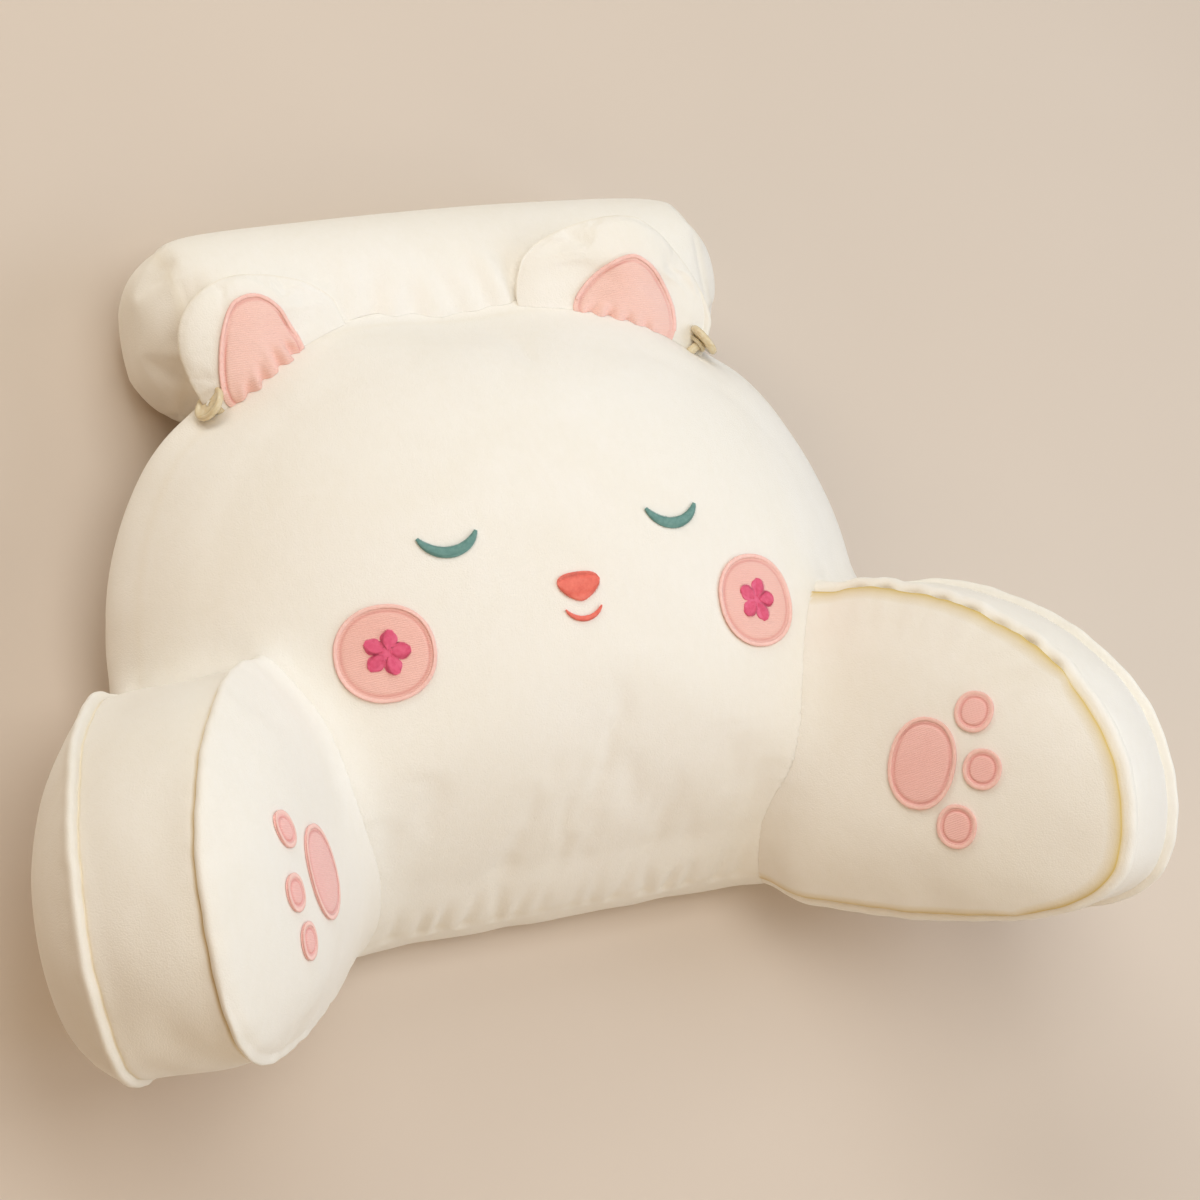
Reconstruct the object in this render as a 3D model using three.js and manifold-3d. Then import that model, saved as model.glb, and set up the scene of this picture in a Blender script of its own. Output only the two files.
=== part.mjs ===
// A reading cushion that lies on its back: a crowned back cushion with boxed arms, ears, a head bolster, sewn-on
// patches, and buttons with loops. Millimetres. X runs across, Y to the head end, Z out of the face.
// Everything is laid out in the cushion's own frame, with Z = 0 on the back panel and Y = 0 near the foot edge. The
// last step reclines that frame, because the head end lies on the bolster and the foot edge lies on the ground.
import * as THREE from "three";
import { mergeVertices } from "three/addons/utils/BufferGeometryUtils.js";
import Module from "manifold-3d";

const wasm = await Module();
wasm.setup();
const radians = THREE.MathUtils.degToRad;
const { clamp, lerp, smoothstep } = THREE.MathUtils;

// Driving dimensions.
const CLEARANCE = 0.4; // between pieces that are sewn or lie together
const RECLINE = radians(10); // slope of the back panel over the ground
const FOOT_PRESS = 7; // how far the foot edge is pressed flat

const back = {
  middle: 150, // height of the widest line
  across: 235, // half width
  up: 215, // widest line to head edge
  down: 147, // widest line to foot edge
  bowUp: 2.35, // roundness of the shoulders
  bowDown: 4.6, // roundness of the foot corners
  seam: 45, // height of the front seam above the back panel
  seamShare: 0.973, // how far out that seam lies
  crown: 98, // rise of the front panel over its seam
  fullness: 2.5,
  softness: 0.75,
  headLift: 30, // how far the back panel turns up over the bolster
  liftStart: 235, // height at which that turn begins
};
const arm = {
  left: new THREE.Vector3(-153, -11, 70), // where the inner seam plane meets the foot edge of the back cushion
  right: new THREE.Vector3(143, -15, 70),
  splay: radians(36),
  droop: radians(16),
  middle: 40, // length at which the outline turns into the rounded front
  front: 157, // middle to front end
  buried: 110, // middle to the end inside the back cushion
  waist: 63, // height of the foremost point
  up: 122,
  down: 62,
  bowUp: 2,
  bowDown: 3,
  gussetFront: 68, // seam to seam
  gussetBack: 88,
  gussetCrown: 6,
  innerCrown: 32, // rise of the inner panel over its seam
  outerCrown: 48,
  fullness: 3,
  softness: 0.62,
  lip: 7, // height of the topstitched seam
  lipWidth: 9,
  settle: 34, // height over the back panel below which an arm is squeezed together
  lowest: 4, // least height of an arm over the back panel and over the ground
  tuckLeft: 0, // how far the lower rear corner of the inner panel is drawn up and outwards
  tuckRight: 12,
  tuckLength: [-50, 0], // lengths and heights between which that fades
  tuckHeight: [15, 75],
};
const bolster = { length: 373, radius: 58.5, x: 7.5, y: 377, z: -16, end: 18 }; // end is the rise of an end panel
const ear = {
  left: { x: -109, y: 345, apex: 17.5, inner: 62, outer: 44, height: 45, bowOuter: 2.4 }, // place on the seam, apex
  right: { x: 99, y: 351, apex: 2.5, inner: 66, outer: 65, height: 48.6, bowOuter: 1.4 }, // line, reach from there
  middle: 14, // seam to the widest line
  tuck: 26, // how far the base reaches in behind the front panel
  slope: radians(23), // of the base line
  lean: radians(10), // upwards from the seam plane
  bowInner: 1.45,
  bowBase: 4,
  thick: 25,
  fullness: 2.4,
  softness: 0.65,
};
const lining = {
  left: { shift: 0, inner: 25, outer: 33, up: 44.5, bowInner: 2.8, bowOuter: 1.5 }, // shift from the ear's apex line
  right: { shift: 1, inner: 29, outer: 38.5, up: 37, bowInner: 1.5, bowOuter: 1.7 },
  down: 12,
  lift: 0.35,
};
const patch = { thick: 1.7, edge: 0.94, bevel: 0.6 };
const pawSpots = {
  left: { pad: [91, 84], toe_1: [119, 117], toe_2: [131, 86], toe_3: [129, 59] }, // length and height on the arm
  right: { pad: [84, 89], toe_1: [112, 121], toe_2: [120, 89], toe_3: [107, 55] },
};
const pawSizes = {
  left: { pad: [18.5, 25.5], toe_1: [9, 9.8], toe_2: [9, 9.8], toe_3: [8.5, 9.8] }, // half length and half height
  right: { pad: [20, 26.5], toe_1: [11, 11.5], toe_2: [11, 11.5], toe_3: [11.5, 12.5] },
};
const pawLean = { left: 0, right: radians(8) }; // of a patch, towards the front end of the arm
const eye = { x: 70, y: 208, radius: 19, sweep: radians(62), wide: 7.5 };
const nose = { y: 181, half: 13, up: 6, down: 11 };
const mouth = { y: 160, radius: 13, sweep: radians(58), wide: 3.6 };
const cheek = { x: 116, y: 158, radius: 27 };
const flower = { petals: 5, radius: 13, core: 0.55 };
const button = { radius: 11, thick: 4.2, rim: 1.2, shank: 2.6, neck: 4.2, root: 16 };
button.left = new THREE.Vector3(-157.7, 318, 47.9); // where the shank leaves the pile
button.right = new THREE.Vector3(151.6, 324.4, 48.8);
const loop = { radius: 1.2, reach: 44, height: 2.2 };

const groundAt = (y) => FOOT_PRESS - y * Math.tan(RECLINE);

// Outlines. Each is a rounded shape round a centre, with a reach of its own in each of four directions and a bow that
// says how round its quarters are. The share of a point is 0 in the centre and 1 on the outline.
const across = { forward: back.across, backward: back.across };
const backOutline = { ...across, up: back.up, down: back.down, bow: (u, v) => (v > 0 ? back.bowUp : back.bowDown) };
const armOutline = { forward: arm.front, backward: arm.buried, up: arm.up, down: arm.down };
armOutline.bow = (u, v) => (v > 0 ? arm.bowUp : arm.bowDown);
const noseOutline = { forward: nose.half, backward: nose.half, up: nose.up, down: nose.down };
noseOutline.bow = (u, v) => (v > 0 ? 2.6 : 1.5);

function ovalOutline(long, high) {
  return { forward: long, backward: long, up: high, down: high, bow: () => 2.15 };
}

function shareOf(outline, u, v) {
  const bow = outline.bow(u, v);
  const a = Math.abs(u) / (u > 0 ? outline.forward : outline.backward);
  const b = Math.abs(v) / (v > 0 ? outline.up : outline.down);
  return Math.pow(a ** bow + b ** bow, 1 / bow);
}

function radiusOf(outline) {
  return (angle) => 1 / shareOf(outline, Math.cos(angle), Math.sin(angle));
}

// Directions from the centre that meet an outline at even distances.
function evenAngles(radius, count) {
  const fine = 2400;
  const turn = (2 * Math.PI) / fine;
  const at = (i) => new THREE.Vector2(Math.cos(i * turn), Math.sin(i * turn)).multiplyScalar(radius(i * turn));
  const walked = [0];
  for (let i = 1; i <= fine; i++) walked.push(walked[i - 1] + at(i).distanceTo(at(i - 1)));
  const angles = [];
  let step = 0;
  for (let k = 0; k < count; k++) {
    while (walked[step] < (k / count) * walked[fine]) step++;
    angles.push(step * turn);
  }
  return angles;
}

function crownAt(crown, { fullness, softness }, share) {
  return crown * Math.pow(Math.max(0, 1 - share ** fullness), softness);
}

// A closed shell through rings of points. A ring of one point is a pole.
function shell(rings) {
  const points = [];
  const starts = [];
  for (const ring of rings) {
    starts.push(points.length);
    points.push(...ring);
  }
  const faces = [];
  for (let i = 0; i + 1 < rings.length; i++) {
    const count = Math.max(rings[i].length, rings[i + 1].length);
    for (let j = 0; j < count; j++) {
      const next = (j + 1) % count;
      const a = starts[i] + (j % rings[i].length);
      const b = starts[i] + (next % rings[i].length);
      const c = starts[i + 1] + (next % rings[i + 1].length);
      const d = starts[i + 1] + (j % rings[i + 1].length);
      if (a !== b) faces.push(a, b, c);
      if (c !== d) faces.push(a, c, d);
    }
  }
  const geometry = new THREE.BufferGeometry().setFromPoints(points);
  geometry.setIndex(faces);
  return facingOut(geometry);
}

// Turns the faces round where they enclose a negative volume.
function facingOut(geometry) {
  const place = geometry.attributes.position;
  const index = geometry.index.array;
  const corners = [new THREE.Vector3(), new THREE.Vector3(), new THREE.Vector3()];
  const turned = [];
  let volume = 0;
  for (let i = 0; i < index.length; i += 3) {
    corners.forEach((corner, k) => corner.fromBufferAttribute(place, index[i + k]));
    volume += corners[0].dot(corners[1].cross(corners[2]));
    turned.push(index[i], index[i + 2], index[i + 1]);
  }
  if (volume < 0) geometry.setIndex(turned);
  return geometry;
}

function solidOf(geometry) {
  const bare = new THREE.BufferGeometry();
  bare.setAttribute("position", geometry.attributes.position);
  bare.setIndex(geometry.index);
  const merged = mergeVertices(bare, 1e-3);
  const triVerts = new Uint32Array(merged.index.array);
  const vertProperties = merged.attributes.position.array;
  return new wasm.Manifold(new wasm.Mesh({ numProp: 3, vertProperties, triVerts }));
}

// The largest body of a solid with other solids cut out of it.
function cutBy(geometry, ...tools) {
  let solid = solidOf(geometry);
  for (const tool of tools) solid = solid.subtract(solidOf(tool));
  const bodies = solid.decompose().sort((a, b) => b.volume() - a.volume());
  const mesh = bodies[0].getMesh();
  const cut = new THREE.BufferGeometry();
  cut.setAttribute("position", new THREE.BufferAttribute(new Float32Array(mesh.vertProperties), 3));
  cut.setIndex(new THREE.BufferAttribute(new Uint32Array(mesh.triVerts), 1));
  return cut;
}

// The back cushion. Grown by the clearance, it cuts the pieces that are sewn to it or lie under it.
const backRadius = radiusOf(backOutline);
const backAngles = evenAngles(backRadius, 64);

function backCushion(grown) {
  const panel = [[0, 0], [0.5, 0], [0.84, 0], [0.95, 1.5]].map(([share, height]) => ({ share, height, push: -1 }));
  const band = [[1.005, 7], [1.022, 22], [back.seamShare, back.seam]];
  const rows = [...panel, ...band.map(([share, height]) => ({ share, height, push: 0 }))];
  for (const row of rows) row.lifted = back.headLift * (1 - row.height / back.seam);
  for (const share of [0.972, 0.935, 0.87, 0.77, 0.63, 0.46, 0.3, 0.15, 0]) {
    const height = back.seam + crownAt(back.crown, back, share);
    rows.push({ share: share * back.seamShare, height, push: 1, lifted: 0 });
  }
  const size = 1 + grown / back.down;
  const rings = rows.map(({ share, height, push, lifted }) => {
    const angles = share === 0 ? [0] : backAngles;
    return angles.map((angle) => {
      const reach = share * backRadius(angle);
      const turn = smoothstep(back.middle + reach * Math.sin(angle), back.liftStart, back.middle + back.up);
      const x = size * reach * Math.cos(angle);
      const y = back.middle + size * reach * Math.sin(angle);
      const z = height + lifted * turn + push * grown;
      const ground = grown > 0 ? -Infinity : groundAt(y);
      return new THREE.Vector3(x, y, Math.max(z, ground));
    });
  });
  return shell(rings);
}

function onFront(x, y, lift) {
  const share = shareOf(backOutline, x, y - back.middle) / back.seamShare;
  return new THREE.Vector3(x, y, back.seam + crownAt(back.crown, back, share) + lift);
}

// An arm has a frame of its own: width from the inner to the outer seam, height, and length from the back cushion.
function armFrame(side) {
  const turn = new THREE.Euler(arm.droop, side * arm.splay, 0, "YXZ");
  return new THREE.Matrix4().makeRotationFromEuler(turn).setPosition(side < 0 ? arm.left : arm.right);
}

function gussetAt(length) {
  return lerp(arm.gussetBack, arm.gussetFront, clamp(length / (arm.middle + arm.front), 0, 1));
}

function tuckAt(side, length, height) {
  const rear = 1 - smoothstep(length, ...arm.tuckLength);
  const low = 1 - smoothstep(height, ...arm.tuckHeight);
  return (side < 0 ? arm.tuckLeft : arm.tuckRight) * rear * low;
}

// Rows of an arm's cross-section: share of the outline, rise over the outline, seam the width is counted from (0 the
// inner, 1 the outer) and offset along the width.
function armRows() {
  const half = arm.lipWidth / 2;
  const shares = [0, 0.3, 0.55, 0.76, 0.9, 0.965];
  const lip = [
    { share: 1, rise: arm.lip - 2, offset: 1 - half },
    { share: 1, rise: arm.lip, offset: half - 3 },
    { share: 1, rise: 1, offset: half + 2 },
  ];
  const inner = shares.map((share) => ({ share, rise: 0, offset: -crownAt(arm.innerCrown, arm, share) }));
  const outer = shares.map((share) => ({ share, rise: 0, offset: crownAt(arm.outerCrown, arm, share) }));
  const mirrored = lip.map((row) => ({ ...row, offset: -row.offset }));
  const near = [...inner, ...lip].map((row) => ({ ...row, seam: 0 }));
  const far = [...outer, ...mirrored].map((row) => ({ ...row, seam: 1 }));
  const gusset = [0.33, 0.67].map((seam) => ({ share: 1, rise: arm.gussetCrown, offset: 0, seam }));
  return [...near, ...gusset, ...far.reverse()];
}

// The rear end of an arm is squeezed together smoothly, so that it stays clear of the ground.
function settled(point) {
  const lowest = Math.max(0, groundAt(point.y)) + arm.lowest;
  const room = arm.settle - lowest;
  if (point.z < arm.settle) point.z = lowest + room * Math.exp((point.z - arm.settle) / room);
  return point;
}

const armRadius = radiusOf(armOutline);
const armAngles = evenAngles(armRadius, 44);

function armPiece(side) {
  const rings = armRows().map(({ share, rise, seam, offset }) => {
    const angles = share === 0 ? [0] : armAngles;
    return angles.map((angle) => {
      const reach = share * armRadius(angle) + rise;
      const length = arm.middle + reach * Math.cos(angle);
      const flat = arm.waist + reach * Math.sin(angle);
      const tuck = tuckAt(side, length, flat);
      const width = seam * gussetAt(length) + offset + (1 - seam) * tuck;
      return settled(new THREE.Vector3(side * width, flat + tuck, length).applyMatrix4(armFrame(side)));
    });
  });
  return cutBy(shell(rings), backCushion(CLEARANCE));
}

function onArm(side, length, height, lift) {
  const share = shareOf(armOutline, length - arm.middle, height - arm.waist);
  const width = -crownAt(arm.innerCrown, arm, share) - lift;
  return new THREE.Vector3(side * width, height, length).applyMatrix4(armFrame(side));
}

// An ear has a frame of its own too: along the seam to the outer end, away from the seam, and out of its front.
class Ear {
  constructor(side) {
    const { x, y, apex, inner, outer, height, bowOuter } = side < 0 ? ear.left : ear.right;
    this.side = side;
    this.apex = apex;
    this.outline = { forward: outer, backward: inner, up: height, down: ear.middle + ear.tuck };
    this.outline.bow = (u, v) => (v < 0 ? ear.bowBase : u > 0 ? bowOuter : ear.bowInner);
    const turn = new THREE.Euler(ear.lean, 0, -side * ear.slope, "ZXY");
    this.frame = new THREE.Matrix4().makeRotationFromEuler(turn).setPosition(x, y, back.seam);
  }

  // A point on the front (face 1) or the rear (face -1), counted from the apex line and the seam.
  at(u, v, lift, face) {
    const full = crownAt(ear.thick / 2, ear, shareOf(this.outline, u, v - ear.middle));
    return new THREE.Vector3(this.side * (u + this.apex), v, face * (full + lift)).applyMatrix4(this.frame);
  }

  whole(grown) {
    const radius = radiusOf(this.outline);
    const shares = [0, 0.3, 0.6, 0.82, 0.95];
    const rows = [...shares.map((share) => [share, -1]), [1, 1], ...shares.reverse().map((share) => [share, 1])];
    const rings = rows.map(([share, face]) => {
      const angles = share === 0 ? [0] : evenAngles(radius, 30);
      return angles.map((angle) => {
        const reach = share * (radius(angle) + grown);
        const lift = share === 1 ? 0 : grown;
        return this.at(reach * Math.cos(angle), ear.middle + reach * Math.sin(angle), lift, face);
      });
    });
    return shell(rings);
  }

  lining() {
    const { shift, inner, outer, up, bowInner, bowOuter } = this.side < 0 ? lining.left : lining.right;
    const outline = { forward: outer, backward: inner, up, down: lining.down };
    outline.bow = (u, v) => (v < 0 ? ear.bowBase : u > 0 ? bowOuter : bowInner);
    const place = (u, v, lift) => this.at(u + shift, v, lift + lining.lift, 1);
    return cutBy(patchPiece(radiusOf(outline), 28, place, [0.4, 0.75]), backCushion(CLEARANCE));
  }
}
const ears = { "-1": new Ear(-1), 1: new Ear(1) };

function wholeBolster(grown) {
  const half = bolster.length / 2 + grown;
  const panel = [0, 0.4, 0.68, 0.86].map((share) => [bolster.end * (share / 0.86) ** 4, share]);
  const end = [...panel, [bolster.end * 1.8, 0.95], [bolster.end * 3, 0.99], [half / 2, 1]];
  const steps = end.map(([inset, share]) => [inset - half, share]);
  const rows = [...steps, [0, 1.01], ...steps.map(([x, share]) => [-x, share]).reverse()];
  const count = 36;
  const rings = rows.map(([x, share]) => {
    const ring = [];
    for (let i = 0; i < (share === 0 ? 1 : count); i++) {
      const angle = (i / count) * 2 * Math.PI;
      const y = bolster.y + share * (bolster.radius + grown) * Math.cos(angle);
      const z = bolster.z + share * (bolster.radius + grown) * Math.sin(angle);
      ring.push(new THREE.Vector3(bolster.x + x, y, Math.max(z, groundAt(y))));
    }
    return ring;
  });
  return shell(rings);
}

// A sewn-on patch: a thin closed sheet that follows the piece under it.
function patchPiece(radius, count, place, shares = [0.55]) {
  const angles = evenAngles(radius, count);
  const low = CLEARANCE;
  const high = CLEARANCE + patch.thick;
  const inside = [0, ...shares];
  const rows = inside.map((share) => [share, low]);
  rows.push([1, low], [1, high - patch.bevel], [patch.edge, high]);
  rows.push(...inside.reverse().map((share) => [share, high]));
  const rings = rows.map(([share, lift]) => {
    const ringAngles = share === 0 ? [0] : angles;
    return ringAngles.map((angle) => {
      const reach = share * radius(angle);
      return place(reach * Math.cos(angle), reach * Math.sin(angle), lift);
    });
  });
  return shell(rings);
}

// A line of satin stitches on the front: a narrow strip along an arc, thin at both ends.
function arcPiece(x, y, { radius, sweep, wide }, steps) {
  const rings = [];
  const high = CLEARANCE + patch.thick;
  for (let i = 0; i <= steps; i++) {
    const angle = lerp(-sweep, sweep, i / steps) - Math.PI / 2;
    const half = (wide / 2) * Math.sqrt(Math.sin((Math.PI * (i + 0.35)) / (steps + 0.7)));
    const spot = (outward, lift) => {
      const reach = radius + outward;
      return onFront(x + reach * Math.cos(angle), y + radius + reach * Math.sin(angle), lift);
    };
    const shoulder = high - patch.bevel;
    const low = [spot(-half, CLEARANCE), spot(half, CLEARANCE)];
    rings.push([...low, spot(half, shoulder), spot(0, high), spot(-half, shoulder)]);
  }
  const tip = ([a, b, , d]) => [new THREE.Vector3().add(a).add(b).add(d).divideScalar(3)];
  return shell([tip(rings[0]), ...rings, tip(rings[steps])]);
}

// The button faces outwards from the side band, and the loop runs from the bolster round its shank.
function buttonFrame(side) {
  const outward = new THREE.Vector3(side * 0.8, 0.5, 0.33).normalize();
  const turn = new THREE.Quaternion().setFromUnitVectors(new THREE.Vector3(0, 1, 0), outward);
  return new THREE.Matrix4().makeRotationFromQuaternion(turn).setPosition(side < 0 ? button.left : button.right);
}

function buttonPiece(side) {
  const { radius, thick, rim, shank, neck, root } = button;
  const top = neck + thick;
  const profile = [
    [0, -root],
    [shank, -root],
    [shank, neck],
    [radius - 2, neck],
    [radius, neck + thick * 0.4],
    [radius - 0.6, top],
    [radius - 2.6, top],
    [radius - 4, top - rim],
    [0, top - rim],
  ];
  const points = profile.map(([x, y]) => new THREE.Vector2(x, y));
  const turned = new THREE.LatheGeometry(points, 24).applyMatrix4(buttonFrame(side));
  return cutBy(facingOut(turned), backCushion(CLEARANCE), ears[side].whole(CLEARANCE));
}

function loopPiece(side) {
  const frame = buttonFrame(side);
  const shank = new THREE.Vector3(0, loop.height, 0).applyMatrix4(frame);
  const axis = new THREE.Vector3().setFromMatrixColumn(frame, 1);
  const toBolster = new THREE.Vector3(0, bolster.y - shank.y, bolster.z - shank.z).projectOnPlane(axis).normalize();
  const aside = new THREE.Vector3().crossVectors(axis, toBolster);
  const turn = button.shank + loop.radius + CLEARANCE;
  const spot = (away, beside) => shank.clone().addScaledVector(toBolster, away).addScaledVector(aside, beside);
  const path = [spot(loop.reach, turn), spot(loop.reach / 2, turn)];
  for (const angle of [0, 30, 60, 90, 120, 150, 180]) {
    path.push(spot(-turn * Math.sin(radians(angle)), turn * Math.cos(radians(angle))));
  }
  path.push(spot(loop.reach / 2, -turn), spot(loop.reach, -turn));
  const cord = tube(new THREE.CatmullRomCurve3(path), loop.radius, 32, 8);
  return cutBy(cord, wholeBolster(CLEARANCE), backCushion(CLEARANCE), ears[side].whole(CLEARANCE));
}

function tube(path, radius, steps, sides) {
  const { normals, binormals } = path.computeFrenetFrames(steps);
  const rings = [];
  for (let i = 0; i <= steps; i++) {
    const ring = [];
    for (let k = 0; k < sides; k++) {
      const angle = (k / sides) * 2 * Math.PI;
      const point = path.getPointAt(i / steps).addScaledVector(normals[i], radius * Math.cos(angle));
      ring.push(point.addScaledVector(binormals[i], radius * Math.sin(angle)));
    }
    rings.push(ring);
  }
  return shell([[path.getPointAt(0)], ...rings, [path.getPointAt(1)]]);
}

const material = {};
function look(name, color, roughness) {
  material[name] = new THREE.MeshStandardMaterial({ name, color, roughness });
}
look("plush", 0xf3ead8, 0.95);
look("pink", 0xeeb6a8, 0.9);
look("rose", 0xe2607f, 0.8);
look("coral", 0xf0836f, 0.8);
look("teal", 0x74a29c, 0.8);
look("resin", 0xc79a55, 0.3);
look("elastic", 0xeee4cc, 0.7);

const cushion = new THREE.Group();
function add(name, geometry, cloth) {
  const mesh = new THREE.Mesh(geometry, material[cloth]);
  mesh.name = name;
  cushion.add(mesh);
}

const earTools = [ears[-1].whole(CLEARANCE), ears[1].whole(CLEARANCE)];
add("back_cushion", backCushion(0), "plush");
add("head_bolster", cutBy(wholeBolster(0), backCushion(CLEARANCE), ...earTools), "plush");
add("nose", patchPiece(radiusOf(noseOutline), 18, (u, v, lift) => onFront(u, nose.y + v, lift)), "coral");
add("mouth", arcPiece(0, mouth.y, mouth, 12), "coral");

for (const side of [-1, 1]) {
  const hand = side < 0 ? "left" : "right";
  add(`arm_${hand}`, armPiece(side), "plush");
  add(`ear_${hand}`, cutBy(ears[side].whole(0), backCushion(CLEARANCE)), "plush");
  add(`ear_lining_${hand}`, ears[side].lining(), "pink");
  for (const [spot, [length, height]] of Object.entries(pawSpots[hand])) {
    const [long, high] = pawSizes[hand][spot];
    const [alike, aslant] = [Math.cos(pawLean[hand]), Math.sin(pawLean[hand])];
    const place = (u, v, lift) => onArm(side, length + u * alike + v * aslant, height + v * alike - u * aslant, lift);
    add(`paw_${spot}_${hand}`, patchPiece(radiusOf(ovalOutline(long, high)), 18, place), "pink");
  }
  add(`eye_${hand}`, arcPiece(side * eye.x, eye.y, eye, 14), "teal");

  const onCheek = (u, v, lift) => onFront(side * cheek.x + u, cheek.y + v, lift);
  const onCheekPatch = (u, v, lift) => onCheek(u, v, lift + CLEARANCE + patch.thick);
  const petal = (angle) => Math.sqrt(Math.abs(Math.cos((flower.petals * angle) / 2)));
  const petals = (angle) => flower.radius * lerp(flower.core, 1, petal(angle));
  add(`cheek_${hand}`, patchPiece(radiusOf(ovalOutline(cheek.radius, cheek.radius)), 24, onCheek), "pink");
  add(`cheek_flower_${hand}`, patchPiece(petals, 40, onCheekPatch), "rose");
  add(`button_${hand}`, buttonPiece(side), "resin");
  add(`loop_${hand}`, loopPiece(side), "elastic");
}

// The reclined cushion stands with the lowest middle of its box on the origin.
cushion.rotation.x = RECLINE;
const part = new THREE.Group();
part.add(cushion);
part.updateMatrixWorld(true);
const box = new THREE.Box3().setFromObject(part, true);
const centre = box.getCenter(new THREE.Vector3());
cushion.position.set(-centre.x, -centre.y, -box.min.z);
export default part;
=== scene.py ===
# %% [markdown]
# # A reading cushion with arms
# The real object is a plush back rest. A crowned back cushion carries two boxed arms and two ears, a bolster
# lies behind its head edge, and thin patches and satin stitches are sewn on. This lesson dresses the packed
# solids: each soft piece is cut from the same driving sizes as its solid, blown up as a cloth bag, creased
# where it is sewn, and finished with a plush material. We start with the frame, because every piece has to
# sit where its solid is.

# %% Load the frame
import math

import bmesh
import bpy
import numpy as np
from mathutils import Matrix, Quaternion, Vector
from mathutils.bvhtree import BVHTree


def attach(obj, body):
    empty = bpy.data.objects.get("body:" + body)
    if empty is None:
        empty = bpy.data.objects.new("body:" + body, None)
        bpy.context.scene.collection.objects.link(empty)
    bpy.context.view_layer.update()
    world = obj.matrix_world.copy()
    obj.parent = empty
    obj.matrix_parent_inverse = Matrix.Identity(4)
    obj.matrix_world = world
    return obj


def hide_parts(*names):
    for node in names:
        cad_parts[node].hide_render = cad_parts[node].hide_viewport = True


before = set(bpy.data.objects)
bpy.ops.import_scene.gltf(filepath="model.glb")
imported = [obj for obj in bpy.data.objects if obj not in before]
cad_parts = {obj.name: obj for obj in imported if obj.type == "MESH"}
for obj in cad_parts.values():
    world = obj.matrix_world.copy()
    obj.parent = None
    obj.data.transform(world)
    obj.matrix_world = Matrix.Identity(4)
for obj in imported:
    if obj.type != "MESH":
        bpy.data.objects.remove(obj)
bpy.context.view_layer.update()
scene = bpy.context.scene
print("solids to dress:", len(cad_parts))

# %% [markdown]
# The cushion is laid out in a frame of its own, in millimetres: X runs across, Y to the head end and Z out of
# the face. It lies reclined, with its head end on the bolster, so one turn and one shift bring that frame to
# the part's frame. Every mesh below is made in the cushion's frame and placed at the very end, which leaves
# all objects at the origin.

# %% From the cushion's frame to the part's
PER_METRE = 1000
RECLINE = math.radians(10)
SHIFT = np.array([5.0, -173.54, -6.894])
FOOT_PRESS = 7.0


def turned(axis, angle):
    """Rotation matrix about one axis, 0 for X, 1 for Y and 2 for Z."""
    first, second = (axis + 1) % 3, (axis + 2) % 3
    matrix = np.eye(3)
    matrix[first, first] = matrix[second, second] = math.cos(angle)
    matrix[second, first] = math.sin(angle)
    matrix[first, second] = -math.sin(angle)
    return matrix


def placed(points):
    """Cushion millimetres to the part's metres."""
    return (points @ turned(0, RECLINE).T + SHIFT) / PER_METRE


def ground_at(y):
    """Height of the ground in the cushion's frame."""
    return FOOT_PRESS - y * math.tan(RECLINE)


print("foot edge stands on the ground at", placed(np.array([[0.0, 0.0, ground_at(0.0)]])).round(4))

# %% [markdown]
# The camera has the viewing angle of the photograph: it looks down on the face from the cushion's left, and
# it is rolled a little. A long lens keeps the arms from looking too large. Plush only looks deep when its
# shadows stay soft, so the light comes from six wide soft boxes. The ones above, at the head end and on the
# right are white or a little cool. The other three and the world are warmer, which gives the shadows the
# yellow tone of light that has passed between tufts.

# %% Camera and light
CAMERA_AT = Vector((-0.8015, -0.5060, 1.8206))
CAMERA_AIM = Vector((0.0564, -0.0086, 0.0831))
CAMERA_ROLL = math.radians(48.23)
CAMERA_LENS = 102.0
LAMP_AIM = Vector((0, 0, 0.1))
# A lamp is its name, its place and size in metres, its power in watts and its tint.
LAMPS = (
    ("top_light", (0, 0, 2.4), 1.4, 20, (1.0, 1.0, 0.96)),
    ("head_light", (-0.05, 1.65, 1.7), 1.3, 11.5, (0.93, 0.97, 1.0)),
    ("right_light", (1.7, -0.5, 1.4), 1.6, 19.5, (0.82, 0.89, 1.0)),
    ("corner_light", (-0.9, 1.9, 1.0), 1.2, 14, (1.0, 0.93, 0.78)),
    ("left_light", (-1.7, -0.9, 1.4), 1.6, 7, (1.0, 0.6, 0.3)),
    ("foot_light", (0.3, -1.9, 1.3), 1.6, 10, (1.0, 0.91, 0.72)),
)
WORLD_TINT = (1.0, 0.8, 0.57, 1)
WORLD_STRENGTH = 0.12

camera = bpy.data.objects.new("camera", bpy.data.cameras.new("camera"))
camera.data.lens = CAMERA_LENS
camera.location = CAMERA_AT
camera.rotation_mode = "QUATERNION"
aim = (CAMERA_AIM - CAMERA_AT).to_track_quat("-Z", "Y")
camera.rotation_quaternion = aim @ Quaternion((0, 0, 1), CAMERA_ROLL)
scene.collection.objects.link(camera)
scene.camera = camera


def soft_box(name, place, size, power, tint):
    """A square area light that faces the cushion."""
    lamp = bpy.data.lights.new(name, "AREA")
    lamp.size = size
    lamp.energy = power
    lamp.color = tint
    lamp_object = bpy.data.objects.new(name, lamp)
    lamp_object.location = place
    lamp_object.rotation_euler = (LAMP_AIM - Vector(place)).to_track_quat("-Z", "Y").to_euler()
    scene.collection.objects.link(lamp_object)


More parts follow.
